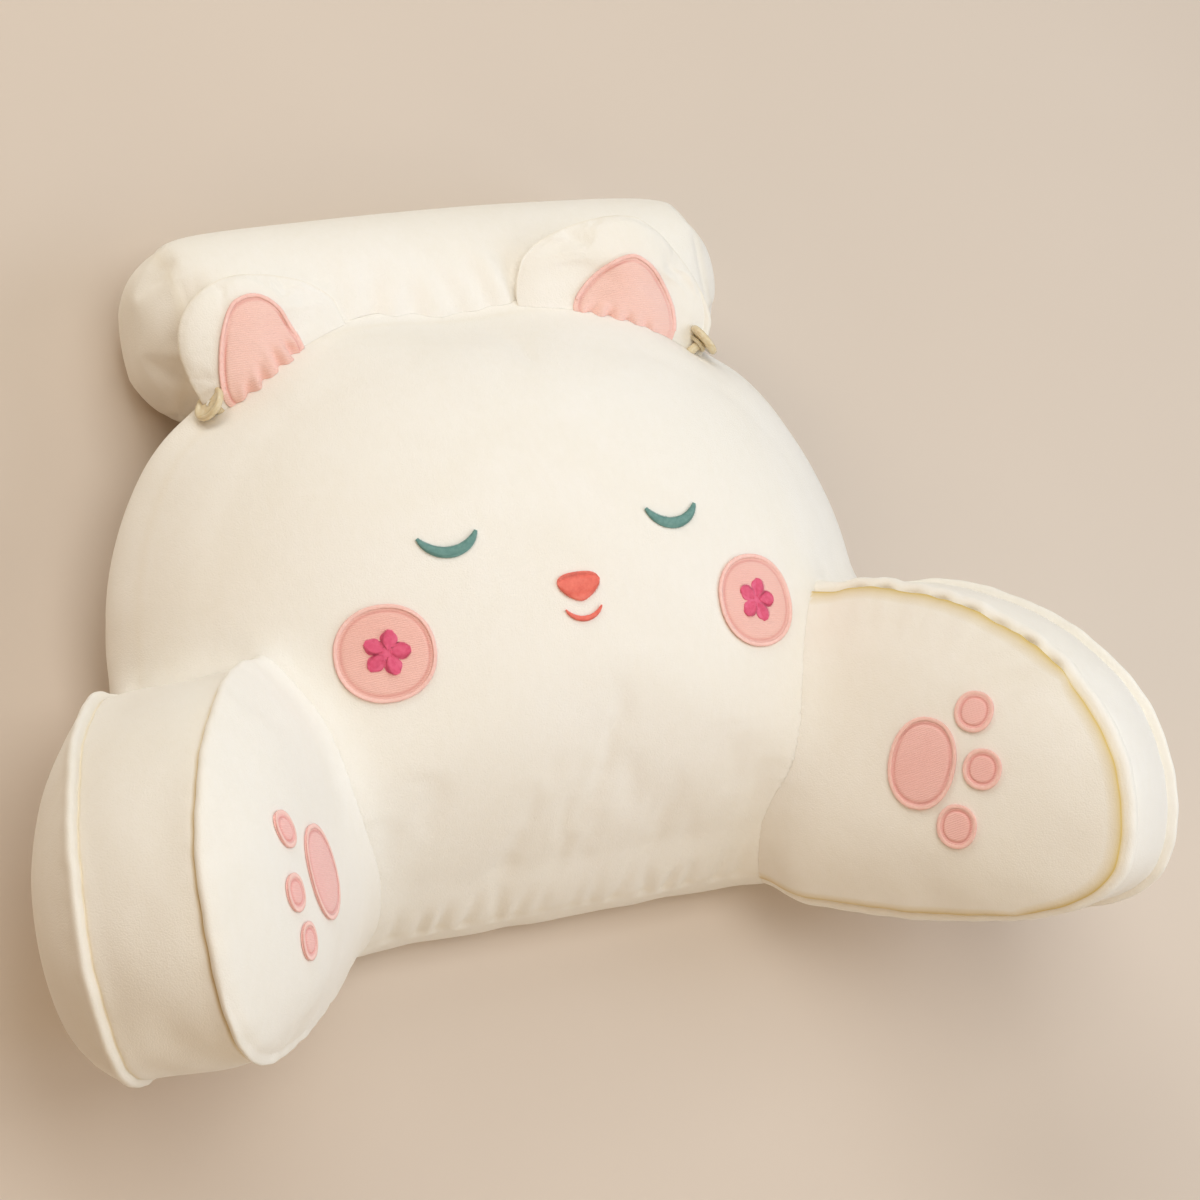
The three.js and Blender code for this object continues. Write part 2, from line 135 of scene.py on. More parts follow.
for lamp_values in LAMPS:
    soft_box(*lamp_values)
world = bpy.data.worlds.new("studio")
world.use_nodes = True
background = world.node_tree.nodes["Background"]
background.inputs["Color"].default_value = WORLD_TINT
background.inputs["Strength"].default_value = WORLD_STRENGTH
scene.world = world
scene.view_settings.view_transform = "Standard"
print("camera distance", round((CAMERA_AIM - CAMERA_AT).length, 3), "m")

# %% [markdown]
# Materials are networks of nodes. Writing them link by link hides the idea, so two small classes help: a
# Socket turns Python arithmetic into Math nodes, and a Finish makes any other node from its type, its
# settings and its inputs.

# %% Shader arithmetic
class Socket:
    """An output socket that Python arithmetic can use."""

    def __init__(self, finish, output):
        self.finish = finish
        self.output = output

    def math(self, operation, first, second):
        return self.finish.node("Math", {"operation": operation}, {0: first, 1: second})

    def __add__(self, other):
        return self.math("ADD", self, other)

    def __sub__(self, other):
        return self.math("SUBTRACT", self, other)

    def __rsub__(self, other):
        return self.math("SUBTRACT", other, self)

    def __mul__(self, other):
        return self.math("MULTIPLY", self, other)

    __radd__ = __add__
    __rmul__ = __mul__


class Finish:
    """A material with one Principled shader."""

    def __init__(self, name):
        self.material = bpy.data.materials.new(name)
        self.material.use_nodes = True
        self.tree = self.material.node_tree
        self.shader = self.tree.nodes["Principled BSDF"]

    def fill(self, socket, value):
        if isinstance(value, Socket):
            self.tree.links.new(value.output, socket)
        else:
            socket.default_value = value

    def node(self, kind, settings=None, inputs=None, output=0):
        made = self.tree.nodes.new("ShaderNode" + kind)
        for name, value in (settings or {}).items():
            setattr(made, name, value)
        for name, value in (inputs or {}).items():
            self.fill(made.inputs[name], value)
        return Socket(self, made.outputs[output])

    def place(self):
        """Coordinates of the piece itself."""
        return self.node("TexCoord", output="Object")

    def attribute(self, name):
        return self.node("Attribute", {"attribute_name": name}, output="Fac")

    def mix(self, amount, first, second):
        """Colour between two colours."""
        settings = {"data_type": "RGBA", "clamp_factor": True}
        return self.node("Mix", settings, {0: amount, 6: first, 7: second}, 2)

    def noise(self, where, scale, detail=2.0, roughness=0.5, distortion=0.0):
        inputs = {"Vector": where, "Scale": scale, "Detail": detail}
        inputs |= {"Roughness": roughness, "Distortion": distortion}
        return self.node("TexNoise", None, inputs, "Fac")

    def stretched(self, where, scale):
        return self.node("Mapping", None, {"Vector": where, "Scale": scale})

    def bumped(self, height, distance, strength=1.0):
        return self.node("Bump", None, {"Height": height, "Distance": distance, "Strength": strength})

    def set(self, values):
        for name, value in values.items():
            self.fill(self.shader.inputs[name], value)


def colour(red, green, blue):
    """Screen colour from 0 to 255 as the linear colour that shaders use."""
    parts = []
    for part in (red, green, blue):
        share = part / 255
        parts.append(share / 12.92 if share <= 0.04045 else ((share + 0.055) / 1.055) ** 2.4)
    return (*parts, 1.0)


print("shader helpers ready")

# %% [markdown]
# Plush is a knitted ground with a dense short pile. It shows three scales: broad clouds where a hand brushed
# the pile another way, short streaks along the lie of the pile, and single tufts that only a bump can show.
# Sheen brightens the slopes. An attribute which each mesh carries paints a warm yellow shade into the colour
# along seams and in grooves, where shadow falls. Scales below count features for each metre.

# %% Plush
PILE_CLOUDS = 9.0
PILE_STREAKS = (260.0, 90.0, 260.0)
PILE_TUFTS = 1100.0


def plush(name, pale, deep, fold, sheen):
    made = Finish(name)
    where = made.place()
    clouds = made.noise(where, PILE_CLOUDS, 3.0, 0.55, 0.8)
    streaks = made.noise(made.stretched(where, PILE_STREAKS), 1.0, 3.0, 0.6)
    tufts = made.noise(where, PILE_TUFTS, 1.0)
    lie = clouds * 1.1 + streaks * 0.5 - 0.3
    cloth = made.mix(lie, deep, pale)
    made.set({
        # Painted shade: where the attribute is high, the colour turns to the fold colour, a warm yellow
        # shade.
        "Base Color": made.mix(made.attribute("painted_shade"), cloth, fold),
        "Roughness": 0.97 - lie * 0.12,
        "Sheen Weight": sheen,
        "Sheen Roughness": 0.45,
        "Sheen Tint": (1.0, 0.97, 0.92, 1.0),
        "Specular IOR Level": 0.2,
        "Normal": made.bumped(tufts * 0.6 + streaks * 0.25 + clouds * 0.5, 0.0009, 0.4),
    })
    return made.material


# The third colour is painted shade, the warm yellow laid along seams and in grooves.
ivory_plush = plush("ivory_plush", colour(250, 247, 242), colour(244, 239, 228), colour(214, 184, 100), 0.3)
print("plush ready:", ivory_plush.name)

# %% [markdown]
# Patches are a short velour with a fine ribbed weave, and painted shade darkens them in the groove that a
# border pulls into them. Embroidery thread is shinier, and its colour differs a little from stitch to stitch.

# %% Patch cloth and thread
VELOUR_CLOUDS = 26.0
VELOUR_RIBS = 260.0
VELOUR_TUFTS = 1300.0
# Colour and strength of the painted shade in a patch's groove.
GROOVE_SHADOW_PINK = colour(222, 132, 124)
GROOVE_SHADE = 0.5
THREAD_STRANDS = 420.0
THREAD_TWIST = 2600.0


def patch_cloth(name, pale, deep):
    made = Finish(name)
    where = made.place()
    clouds = made.noise(where, VELOUR_CLOUDS, 3.0, 0.55)
    weave = {"Vector": where, "Scale": VELOUR_RIBS, "Distortion": 2.0, "Detail": 2.0, "Detail Scale": 2.0}
    ribs = made.node("TexWave", {"bands_direction": "Y"}, weave, "Fac")
    tufts = made.noise(where, VELOUR_TUFTS, 1.0)
    lie = clouds * 1.0 + ribs * 0.3 - 0.2
    # Painted shade: in the border's groove the colour turns towards a darker pink.
    groove_shade = made.attribute("painted_shade") * GROOVE_SHADE
    made.set({
        "Base Color": made.mix(groove_shade, made.mix(lie, deep, pale), GROOVE_SHADOW_PINK),
        "Roughness": 0.9 - clouds * 0.1,
        "Sheen Weight": 0.35,
        "Sheen Roughness": 0.4,
        "Sheen Tint": (1.0, 0.88, 0.86, 1.0),
        "Specular IOR Level": 0.2,
        "Normal": made.bumped(ribs * 0.5 + tufts * 0.4, 0.0007, 0.5),
    })
    return made.material


def thread(name, pale, deep):
    made = Finish(name)
    where = made.place()
    strands = made.noise(where, THREAD_STRANDS, 2.0)
    made.set({
        "Base Color": made.mix(strands * 1.6 - 0.3, deep, pale),
        "Roughness": 0.42 + strands * 0.2,
        "Sheen Weight": 0.25,
        "Specular IOR Level": 0.45,
        "Normal": made.bumped(made.noise(where, THREAD_TWIST, 1.0), 0.0003, 0.4),
    })
    return made.material


lining_velour = patch_cloth("lining_velour", colour(252, 216, 206), colour(248, 200, 189))
pink_velour = patch_cloth("pink_velour", colour(255, 211, 206), colour(251, 191, 186))
pale_velour = patch_cloth("pale_velour", colour(252, 208, 198), colour(247, 190, 180))
pink_thread = thread("pink_thread", colour(255, 218, 210), colour(250, 200, 191))
rose_thread = thread("rose_thread", colour(240, 110, 148), colour(222, 72, 116))
coral_thread = thread("coral_thread", colour(252, 140, 122), colour(236, 110, 96))
teal_thread = thread("teal_thread", colour(128, 172, 166), colour(92, 142, 138))
print("cloth and thread finishes:", len(bpy.data.materials))

# %% [markdown]
# Every cut panel has a rounded outline with its own reach in four directions, and a bow that says how square
# its quarters are. A panel's points come from a square grid that is wrapped onto that outline, so there is no
# pole in the middle where faces would pinch. Two such panels and the rows of a band between them make a
# closed bag of quads.

# %% Outlines and bags
OUTLINE_SAMPLES = 2401
TINY = 1e-9


class Outline:
    """A rounded outline. The share of a point is 0 in the middle and 1 on the outline."""

    def __init__(self, forward, backward, up, down, bow):
        self.forward = forward
        self.backward = backward
        self.up = up
        self.down = down
        self.bow = bow

    def share(self, u, v):
        bow = self.bow(u, v)
        a = np.abs(u) / np.where(u > 0, self.forward, self.backward)
        b = np.abs(v) / np.where(v > 0, self.up, self.down)
        return (a**bow + b**bow) ** (1 / bow)

    def radius(self, angle):
        return 1 / self.share(np.cos(angle), np.sin(angle))

    def angle(self, turn):
        """Direction of a point that lies that share of the way round the outline."""
        fine = np.linspace(0, 2 * np.pi, OUTLINE_SAMPLES)
        spots = self.radius(fine) * np.array([np.cos(fine), np.sin(fine)])
        walked = np.concatenate([[0], np.cumsum(np.hypot(*np.diff(spots)))])
        return np.interp(turn, walked / walked[-1], fine)


def wrapped_grid(cells):
    """A square grid wrapped onto a disc: share of the radius, turn round the middle, and faces."""
    line = np.linspace(-1, 1, cells + 1)
    s, t = (part.ravel() for part in np.meshgrid(line, line, indexing="ij"))
    sideways = np.abs(s) >= np.abs(t)
    along = np.where(s == 0, 1, s)
    upright = np.where(t == 0, 1, t)
    angle = np.where(sideways, t / along, 2 - s / upright) * np.pi / 4
    angle = angle + np.where(np.where(sideways, s, t) < 0, np.pi, 0)
    corner = np.arange((cells + 1) ** 2).reshape(cells + 1, cells + 1)
    corners = [corner[:-1, :-1], corner[1:, :-1], corner[1:, 1:], corner[:-1, 1:]]
    faces = np.stack(corners, axis=-1).reshape(-1, 4)
    return np.maximum(np.abs(s), np.abs(t)), (angle / (2 * np.pi)) % 1, faces


class Bag:
    """Two wrapped panels and a band's rows between them. Row 0 and the last row are the panels."""

    def __init__(self, cells, rows):
        share, turn, panel = wrapped_grid(cells)
        ring = 4 * cells
        count = len(share)
        edge = np.flatnonzero(share > 1 - TINY)
        edge = edge[np.argsort(turn[edge])]
        band_rows = np.repeat(np.arange(1, rows + 1), ring)
        self.share = np.concatenate([share, np.ones(ring * rows), share])
        self.turn = np.concatenate([turn, np.tile(np.arange(ring) / ring, rows), turn])
        self.row = np.concatenate([np.zeros(count, dtype=int), band_rows, np.full(count, rows + 1)])
        self.last = rows + 1
        second = count + ring * rows
        loops = [edge]
        loops += [count + ring * row + np.arange(ring) for row in range(rows)]
        loops += [second + edge]
        faces = [panel[:, ::-1], panel + second]
        for low, high in zip(loops, loops[1:]):
            faces.append(np.stack([low, np.roll(low, -1), np.roll(high, -1), high], axis=-1))
        self.faces = np.concatenate(faces)

    def choose(self, first, band, second):
        """One value for each point: of the first panel, the band or the second panel."""
        return np.where(self.row == 0, first, np.where(self.row == self.last, second, band))


def facing_out(points, faces):
    """Turns all faces round if they enclose a negative volume."""
    a, b, c, d = (points[faces[:, k]] for k in range(4))
    volume = (np.cross(b - a, c - a) * a).sum() + (np.cross(c - a, d - a) * a).sum()
    return faces if volume > 0 else faces[:, ::-1]


print("a grid of 4 cells wraps to", len(wrapped_grid(4)[0]), "points")

# %% [markdown]
# A few helpers work on whole surfaces at once: normals, an even surface, and soft functions that rise from 0
# to 1, fall off like a bell, crown a stuffed panel or wander slowly round a seam.

# %% Surface helpers
# A wave is its size, its cycles round the seam and its shift.
WAVES = ((0.35, 5, 0.37), (0.3, 11, 0.61), (0.2, 23, 0.17), (0.25, 37, 0.43))


def at_points(face_values, faces, count):
    """Sum of the values of the faces round each point."""
    total = np.zeros((count, 3))
    for k in range(4):
        np.add.at(total, faces[:, k], face_values)
    return total


def unit(vectors):
    return vectors / np.maximum(np.linalg.norm(vectors, axis=1, keepdims=True), TINY)


def normals_of(points, faces):
    across = points[faces[:, 2]] - points[faces[:, 0]]
    along = points[faces[:, 3]] - points[faces[:, 1]]
    return unit(at_points(np.cross(across, along), faces, len(points)))


def eased(points, faces, weight, rounds):
    """Evens a surface out where the weight is 1."""
    faces_round = np.bincount(faces.ravel(), minlength=len(points))[:, None]
    for _ in range(rounds):
        middle = at_points(points[faces].mean(axis=1), faces, len(points)) / faces_round
        points = points + weight[:, None] * (middle - points)
    return points


def smooth_step(value, low, high):
    share = np.clip((value - low) / (high - low), 0, 1)
    return share * share * (3 - 2 * share)


def bell(value):
    """1 at 0, and nearly 0 from 2 on."""
    return np.exp(-(value**2))


def crown(share, fullness, softness):
    """Rise of a stuffed panel, 1 in the middle and 0 on its seam."""
    return np.clip(1 - share**fullness, 0, 1) ** softness


def wavy(turn, seed):
    """A slow unevenness round a seam, about -1 to 1."""
    total = 0
    for size, cycles, shift in WAVES:
        total = total + size * np.sin(2 * np.pi * (cycles * turn + shift * seed))
    return total


print("a bell falls to", bell(2.0).round(3), "at 2")

# %% [markdown]
# A stuffed piece could be sculpted by hand, but cloth finds its own shape better. Each bag starts a little
# smaller than its solid, its seams are pinned, and the cloth simulation blows it up without gravity. No point
# may move further than a limit, which keeps the piece in the room that its solid holds. One subdivision then
# makes the result smooth, and folds that the photograph shows are pressed in as soft valleys along a line.

# %% Blowing up, refining and folding
PRESSURE = 4.0
FRAMES = 20
CLOTH_QUALITY = 5
HOLD_LEVELS = 4
FOLD_FADE = 0.15
RIDGE = 0.45
RIDGE_AT = 1.9


def loose_object(name, points, faces):
    mesh = bpy.data.meshes.new(name)
    mesh.from_pydata(points.tolist(), [], faces.tolist())
    made = bpy.data.objects.new(name, mesh)
    scene.collection.objects.link(made)
    return made


def evaluated(piece):
    """The piece's mesh with its modifiers, as a new plain mesh."""
    return bpy.data.meshes.new_from_object(piece.evaluated_get(bpy.context.evaluated_depsgraph_get()))


def coordinates(mesh):
    flat = np.empty(len(mesh.vertices) * 3)
    mesh.vertices.foreach_get("co", flat)
    return flat.reshape(-1, 3)


def discard(piece):
    mesh = piece.data
    bpy.data.objects.remove(piece)
    bpy.data.meshes.remove(mesh)


# The attribute says how much painted shade the materials lay into the colour at each point.
def paint_shade(mesh, painted_shade):
    mesh.attributes.new("painted_shade", "FLOAT", "POINT").data.foreach_set("value", painted_shade)


def blown_up(name, points, faces, sewn, shrink, limit, slack):
    """Points of the bag after the cloth simulation. Sewn is 1 where a seam holds a point, else 0."""
    free = (1 - sewn)[:, None]
    start = points - normals_of(points, faces) * shrink * free
    bag = loose_object(name, start / PER_METRE, faces)
    group = bag.vertex_groups.new(name="sewn")
    held = np.round(sewn * HOLD_LEVELS)
    for level in range(1, HOLD_LEVELS + 1):
        group.add(np.flatnonzero(held == level).tolist(), level / HOLD_LEVELS, "REPLACE")
    cloth = bag.modifiers.new("cloth", "CLOTH")
    cloth.settings.quality = CLOTH_QUALITY
    cloth.settings.vertex_group_mass = "sewn"
    cloth.settings.use_pressure = True
    cloth.settings.uniform_pressure_force = PRESSURE
    cloth.settings.shrink_min = -slack
    cloth.settings.effector_weights.gravity = 0
    cloth.point_cache.frame_end = FRAMES
    for step in range(1, FRAMES + 1):
        scene.frame_set(step)
    mesh = evaluated(bag)
    moved = coordinates(mesh) * PER_METRE - start
    bpy.data.meshes.remove(mesh)
    discard(bag)
    scene.frame_set(1)
    far = np.linalg.norm(moved, axis=1, keepdims=True)
    print(name, "swelled by", far.mean().round(2), "mm on average, at most", far.max().round(2))
    return start + moved * limit * np.tanh(far / limit) / np.maximum(far, TINY)


def refined(points, faces, painted_shade):
    """One subdivision of a bag."""
    rough = loose_object("rough", points, faces)
    paint_shade(rough.data, painted_shade)
    smoother = rough.modifiers.new("smoother", "SUBSURF")
    smoother.levels = 1
    smoother.render_levels = 1
    mesh = evaluated(rough)
    fine = coordinates(mesh)
    corners = np.empty(len(mesh.loops), dtype=int)
    mesh.loops.foreach_get("vertex_index", corners)
    fine_shade = np.empty(len(mesh.vertices))
    mesh.attributes["painted_shade"].data.foreach_get("value", fine_shade)
    bpy.data.meshes.remove(mesh)
    discard(rough)
    return fine, corners.reshape(-1, 4), fine_shade


def folded(points, faces, folds):
    """Presses soft valleys into a surface. A fold is its two ends, width and depth, deepest at its start."""
    normals = normals_of(points, faces)
    depth_here = np.zeros(len(points))
    for start, end, width, depth in folds:
        start, end = np.array(start, float), np.array(end, float)
        run = end - start
        along = np.clip(((points - start) @ run) / (run @ run), 0, 1)
        away = np.linalg.norm(points - start - along[:, None] * run, axis=1)
        fade = 1 - smooth_step(along, FOLD_FADE, 1.0)
        valley = bell(away / width) - RIDGE * bell(away / width - RIDGE_AT)
        depth_here += depth * fade * valley
    return points - normals * depth_here[:, None]


def finished(node, points, faces, painted_shade, material):
    """The piece that stands for a solid, in the part's frame, with its material and its attribute of painted
    shade.
    """
    piece = loose_object(node + "_piece", placed(points), facing_out(points, faces))
    paint_shade(piece.data, painted_shade)
    piece.data.materials.append(material)
    piece.data.shade_smooth()
    return piece


print("a bag is blown up over", FRAMES, "frames")

# %% [markdown]
# The back cushion is the largest piece: a nearly flat rear panel, a band, and a crowned front panel whose
# seam lies well in front of the rear one. Its head edge turns up over the bolster and its foot edge is
# pressed flat on the ground. Both seams are pinned while the bag swells, and then the rim is filled out and
# evened, because no line of stitches shows on the real cushion.

# %% The shape of the back cushion
BACK = {
    "middle": 150.0, "half": 235.0, "head": 215.0, "foot": 147.0, "head_bow": 2.35, "foot_bow": 4.6,
    "seam": 45.0, "seam_share": 0.973, "crown": 98.0, "fullness": 2.5, "softness": 0.75,
}
REAR_SHARE = 0.95
REAR_RISE = 1.5
REAR_FLAT = 0.86
REAR_SEAM = 0.23
BAND_STEPS = (0.0, REAR_SEAM, 0.52, 1.0)
BAND_SHARES = np.polyfit(BAND_STEPS, (REAR_SHARE, 1.005, 1.022, BACK["seam_share"]), 3)
BAND_HEIGHTS = np.polyfit(BAND_STEPS, (REAR_RISE, 7.0, 22.0, BACK["seam"]), 3)
FRONT_DENSER = 1.3
HEAD_LIFT = 30.0
HEAD_LIFT_RUN = (235.0, 365.0)
GATHER = {"half": 112, "step": 16, "width": 3.6, "depth": 1.3, "low": 2, "high": 38, "long": 16}
back_outline = Outline(
    BACK["half"], BACK["half"], BACK["head"], BACK["foot"],
    lambda u, v: np.where(v > 0, BACK["head_bow"], BACK["foot_bow"]),
)


def front_height(share):
    return BACK["seam"] + BACK["crown"] * crown(share, BACK["fullness"], BACK["softness"])


def back_points(bag):
    angle = back_outline.angle(bag.turn)
    step = bag.row / bag.last
    dense = 1 - (1 - bag.share) ** FRONT_DENSER
    share = bag.choose(bag.share * REAR_SHARE, np.polyval(BAND_SHARES, step), dense * BACK["seam_share"])
    rear = REAR_RISE * smooth_step(bag.share, REAR_FLAT, 1.0)
    height = bag.choose(rear, np.polyval(BAND_HEIGHTS, step), front_height(dense))
    reach = share * back_outline.radius(angle)
    x = reach * np.cos(angle)
    y = BACK["middle"] + reach * np.sin(angle)
    lift = HEAD_LIFT * np.clip(1 - height / BACK["seam"], 0, 1) * smooth_step(y, *HEAD_LIFT_RUN)
    return np.stack([x, y, np.maximum(height + lift, ground_at(y))], axis=1)


def foot_gathers():
    """Short uneven folds that run up from the foot edge."""
    edge = BACK["middle"] - BACK["foot"] * BACK["seam_share"]
    low = BACK["seam"] + GATHER["low"]
    high = BACK["seam"] + GATHER["high"]
    folds = []
    for k, x in enumerate(range(-GATHER["half"], GATHER["half"] + 1, GATHER["step"])):
        start = (x + 3 * math.sin(2 * k), edge, low)
        end = (x + 5 * math.sin(3 * k), edge + GATHER["long"] + 5 * math.sin(5 * k), high)
        folds.append((start, end, GATHER["width"], GATHER["depth"] + 0.5 * math.sin(7 * k)))
    return folds


print("gathers along the foot edge:", len(foot_gathers()))

# %% [markdown]
# Now the bag is blown up. Afterwards the rim grows a little, most beside the ears and least where a button is
# sewn on and pulls it in.

# %% The back cushion
BACK_CELLS = 72
BACK_ROWS = 14
BACK_ROW_HEIGHT = 4.0
BACK_PANEL_REACH = 200.0
REAR_GAP = 12.0
SEAM_HOLD = 4.0
# Reach and strength of the painted shade along the back cushion's seams.
SEAM_SHADE_REACH = 3.0
BACK_SHADE = 0.05
SEAM_EASE = (16.0, 40.0)
SEAM_ROUNDS = 24
RIM_FULLER = 4.0
HEAD_FULLER = 3.5
HEAD_RUN = (250.0, 330.0)
MIDDLE_FLAT = 10.0
MIDDLE_WIDTH = 60.0
BUTTON_AT = {-1: np.array([-157.7, 318.0, 47.9]), 1: np.array([151.6, 324.4, 48.8])}
BUTTON_PULL = 30.0


def rim_growth(points):
    """How far the rim stands out: most beside the ears, least between them and where a button is sewn on."""
    head = smooth_step(points[:, 1], *HEAD_RUN)
    growth = RIM_FULLER + head * (HEAD_FULLER - MIDDLE_FLAT * bell(points[:, 0] / MIDDLE_WIDTH))
    for spot in BUTTON_AT.values():
        growth = growth * (1 - bell(np.linalg.norm(points - spot, axis=1) / BUTTON_PULL))
    return growth


def above_ground(points):
    points[:, 2] = np.maximum(points[:, 2], ground_at(points[:, 1]))
    return points


bag = Bag(BACK_CELLS, BACK_ROWS)
flat_back = back_points(bag)
back_faces = facing_out(flat_back, bag.faces)
rows_away = np.minimum(np.abs(bag.row - bag.last), np.abs(bag.row - REAR_SEAM * bag.last))
inside = (1 - bag.share) * BACK_PANEL_REACH
seam_gap = bag.choose(REAR_GAP + inside, rows_away * BACK_ROW_HEIGHT, inside)
sewn = bell(seam_gap / SEAM_HOLD)
back_soft = above_ground(blown_up("back_bag", flat_back, back_faces, sewn, shrink=5.0, limit=9.0, slack=0.02))
# The third value is painted shade along both seams.
back_fine, back_faces, back_shade = refined(back_soft, back_faces, bell(seam_gap / SEAM_SHADE_REACH))
near_seam = 1 - smooth_step(np.abs(back_fine[:, 2] - BACK["seam"]), *SEAM_EASE)
fuller = back_fine + normals_of(back_fine, back_faces) * (near_seam * rim_growth(back_fine))[:, None]
back_fine = folded(eased(fuller, back_faces, near_seam, SEAM_ROUNDS), back_faces, foot_gathers())
print("back cushion faces:", len(back_faces))

# %% [markdown]
# Each arm is a boxed D: an inner and an outer panel with a wide gusset between them. The seams are
# topstitched, so the edge of the cloth stands up as a soft lip, with a slot on one side of it where the pile
# parts; painted shade darkens that slot. Lip and slot are rows of the bag.

# %% The section of an arm
ARM_OUTLINE = {"forward": 157.0, "backward": 110.0, "up": 122.0, "down": 62.0, "up_bow": 2.0, "down_bow": 3.0}
GUSSET_CROWN = 6.0
GUSSET_SHARES = (0.1, 0.9)
GUSSET_ROWS = 15
# A spot of a lip is its offset along the width and its rise over the outline.
LIP = (
    (4.5, 1.4), (4.1, 3.4), (3.2, 5.2), (1.8, 6.2), (0.2, 6.2),
    (-1.4, 5.4), (-2.9, 4.0), (-4.4, 2.2), (-6.2, 0.0),
)
SLOT_AT = 5.0
SLOT_SIDE = (7.2, 1.9)
# For the inner and the outer seam of each arm: the way the lip is turned, the height of the slot, the width
# of the lip, and how much painted shade lies in the slot and beside it.
LIP_TURNS = {
    -1: ((1, 0.2, 0.9, 0.6, 0.0), (-1, -0.4, 0.85, 0.3, 0.0)),
    1: ((-1, -3.0, 1.5, 1.0, 1.0), (-1, -0.2, 0.8, 0.1, 0.0)),
}
arm_outline = Outline(
    ARM_OUTLINE["forward"], ARM_OUTLINE["backward"], ARM_OUTLINE["up"], ARM_OUTLINE["down"],
    lambda u, v: np.where(v > 0, ARM_OUTLINE["up_bow"], ARM_OUTLINE["down_bow"]),
)


def arm_profile(side):
    """Rows from the inner to the outer panel: seam counted from, offset along the width, rise over the
    outline, and how much painted shade lies there."""
    rows = []
    for seam, (towards, depth, width, slot_shade, beside) in enumerate(LIP_TURNS[side]):
        section = [(*SLOT_SIDE, beside), (SLOT_AT, depth, slot_shade)]
        section += [(*spot, 0) for spot in LIP]
        lip = [(seam, towards * width * offset, *rest) for offset, *rest in section]
        rows += lip if towards < 0 else lip[::-1]
        if seam == 0:
            for share in np.linspace(*GUSSET_SHARES, GUSSET_ROWS):
                rows.append((share, 0, GUSSET_CROWN * (1 - abs(2 * share - 1) ** 4), 0))
    return np.array(rows)


print("rows of an arm:", len(arm_profile(1)))

# %% [markdown]
# An arm is splayed and droops towards its front end. The right one has settled: its lower rear end is tucked
# in, its upper rear end is fuller, and its inner lip sinks at the front corner.

# %% The place and shape of an arm
HANDS = {-1: "left", 1: "right"}
ARM_CORNER = {-1: np.array([-153.0, -11.0, 70.0]), 1: np.array([143.0, -15.0, 70.0])}
ARM_SPLAY = math.radians(36)
ARM_DROOP = math.radians(16)
ARM_MIDDLE = 40.0
ARM_WAIST = 63.0
ARM_LENGTH = 197.0
ARM_DENSER = 1.25
GUSSET_BACK = 88.0
GUSSET_FRONT = 68.0
INNER_CROWN = 32.0
OUTER_CROWN = 48.0
PANEL_FULLNESS = 3.0
INNER_SOFTNESS = 0.62
EDGE_SOFTNESS = 0.69
LIP_RISE_WAVE = 0.9
LIP_SIDE_WAVE = 0.8
FLANGE_CORNER = 0.88
FLANGE_SPREAD = 0.09
FLANGE_DEPTH = 7.0
FLANGE_FROM = 1.0
ARM_TUCK = {-1: 0.0, 1: 23.0}
TUCK_LENGTH = (-50.0, 0.0)
TUCK_HEIGHT = (15.0, 75.0)
TUCK_RISE = 0.35
ARM_FILL = {-1: 0.0, 1: 9.0}
FILL_LENGTH = (-20.0, 50.0)
FILL_HEIGHT = 95.0
FILL_SPREAD = 35.0
ARM_SETTLE = 34.0
ARM_LOWEST = 4.0


def arm_turn(side):
    return turned(1, side * ARM_SPLAY) @ turned(0, ARM_DROOP)


def arm_placed(side, width, height, length):
    return np.stack([side * width, height, length], axis=1) @ arm_turn(side).T + ARM_CORNER[side]


def squeezed(points):
    """Draws the rear end of an arm together, so that it stays clear of the ground."""
    lowest = np.maximum(0, ground_at(points[:, 1])) + ARM_LOWEST
    room = ARM_SETTLE - lowest
    low = points[:, 2] < ARM_SETTLE
    points[:, 2] = np.where(low, lowest + room * np.exp((points[:, 2] - ARM_SETTLE) / room), points[:, 2])
    return points


def arm_points(side, bag, profile):
    seam, offset, rise, _ = profile[bag.row].T
    is_lip = np.abs(offset) > 0
    corner = bell((bag.turn - FLANGE_CORNER) / FLANGE_SPREAD)
    sunk = is_lip & (side * offset > FLANGE_FROM) & (seam == 0)
    rise = rise - np.where(sunk, FLANGE_DEPTH * corner, 0)
    rise = rise + np.where(is_lip, LIP_RISE_WAVE * wavy(bag.turn, side + seam), 0)
    offset = offset + np.where(is_lip, LIP_SIDE_WAVE * wavy(bag.turn, 3 + side + seam), 0)
    dense = 1 - (1 - bag.share) ** ARM_DENSER
    angle = arm_outline.angle(bag.turn)
    reach = dense * (arm_outline.radius(angle) + rise)
    softness = np.where((side == 1) & (bag.row == 0), INNER_SOFTNESS, EDGE_SOFTNESS)
    full = crown(dense, PANEL_FULLNESS, softness)
    inner = offset - (INNER_CROWN + offset) * full
    outer = offset + (OUTER_CROWN - offset) * full
    length = ARM_MIDDLE + reach * np.cos(angle)
    height = ARM_WAIST + reach * np.sin(angle)
    gusset = GUSSET_BACK + (GUSSET_FRONT - GUSSET_BACK) * np.clip(length / ARM_LENGTH, 0, 1)
    tuck = ARM_TUCK[side] * (1 - smooth_step(length, *TUCK_LENGTH)) * (1 - smooth_step(height, *TUCK_HEIGHT))
    fill = ARM_FILL[side] * (1 - smooth_step(length, *FILL_LENGTH))
    fill = fill * bell((height - FILL_HEIGHT) / FILL_SPREAD)
    width = seam * gusset + bag.choose(inner, offset, outer) + (1 - seam) * (tuck - fill)
    return squeezed(arm_placed(side, width, height + TUCK_RISE * tuck, length))


print("an arm is splayed by", round(math.degrees(ARM_SPLAY)), "degrees")

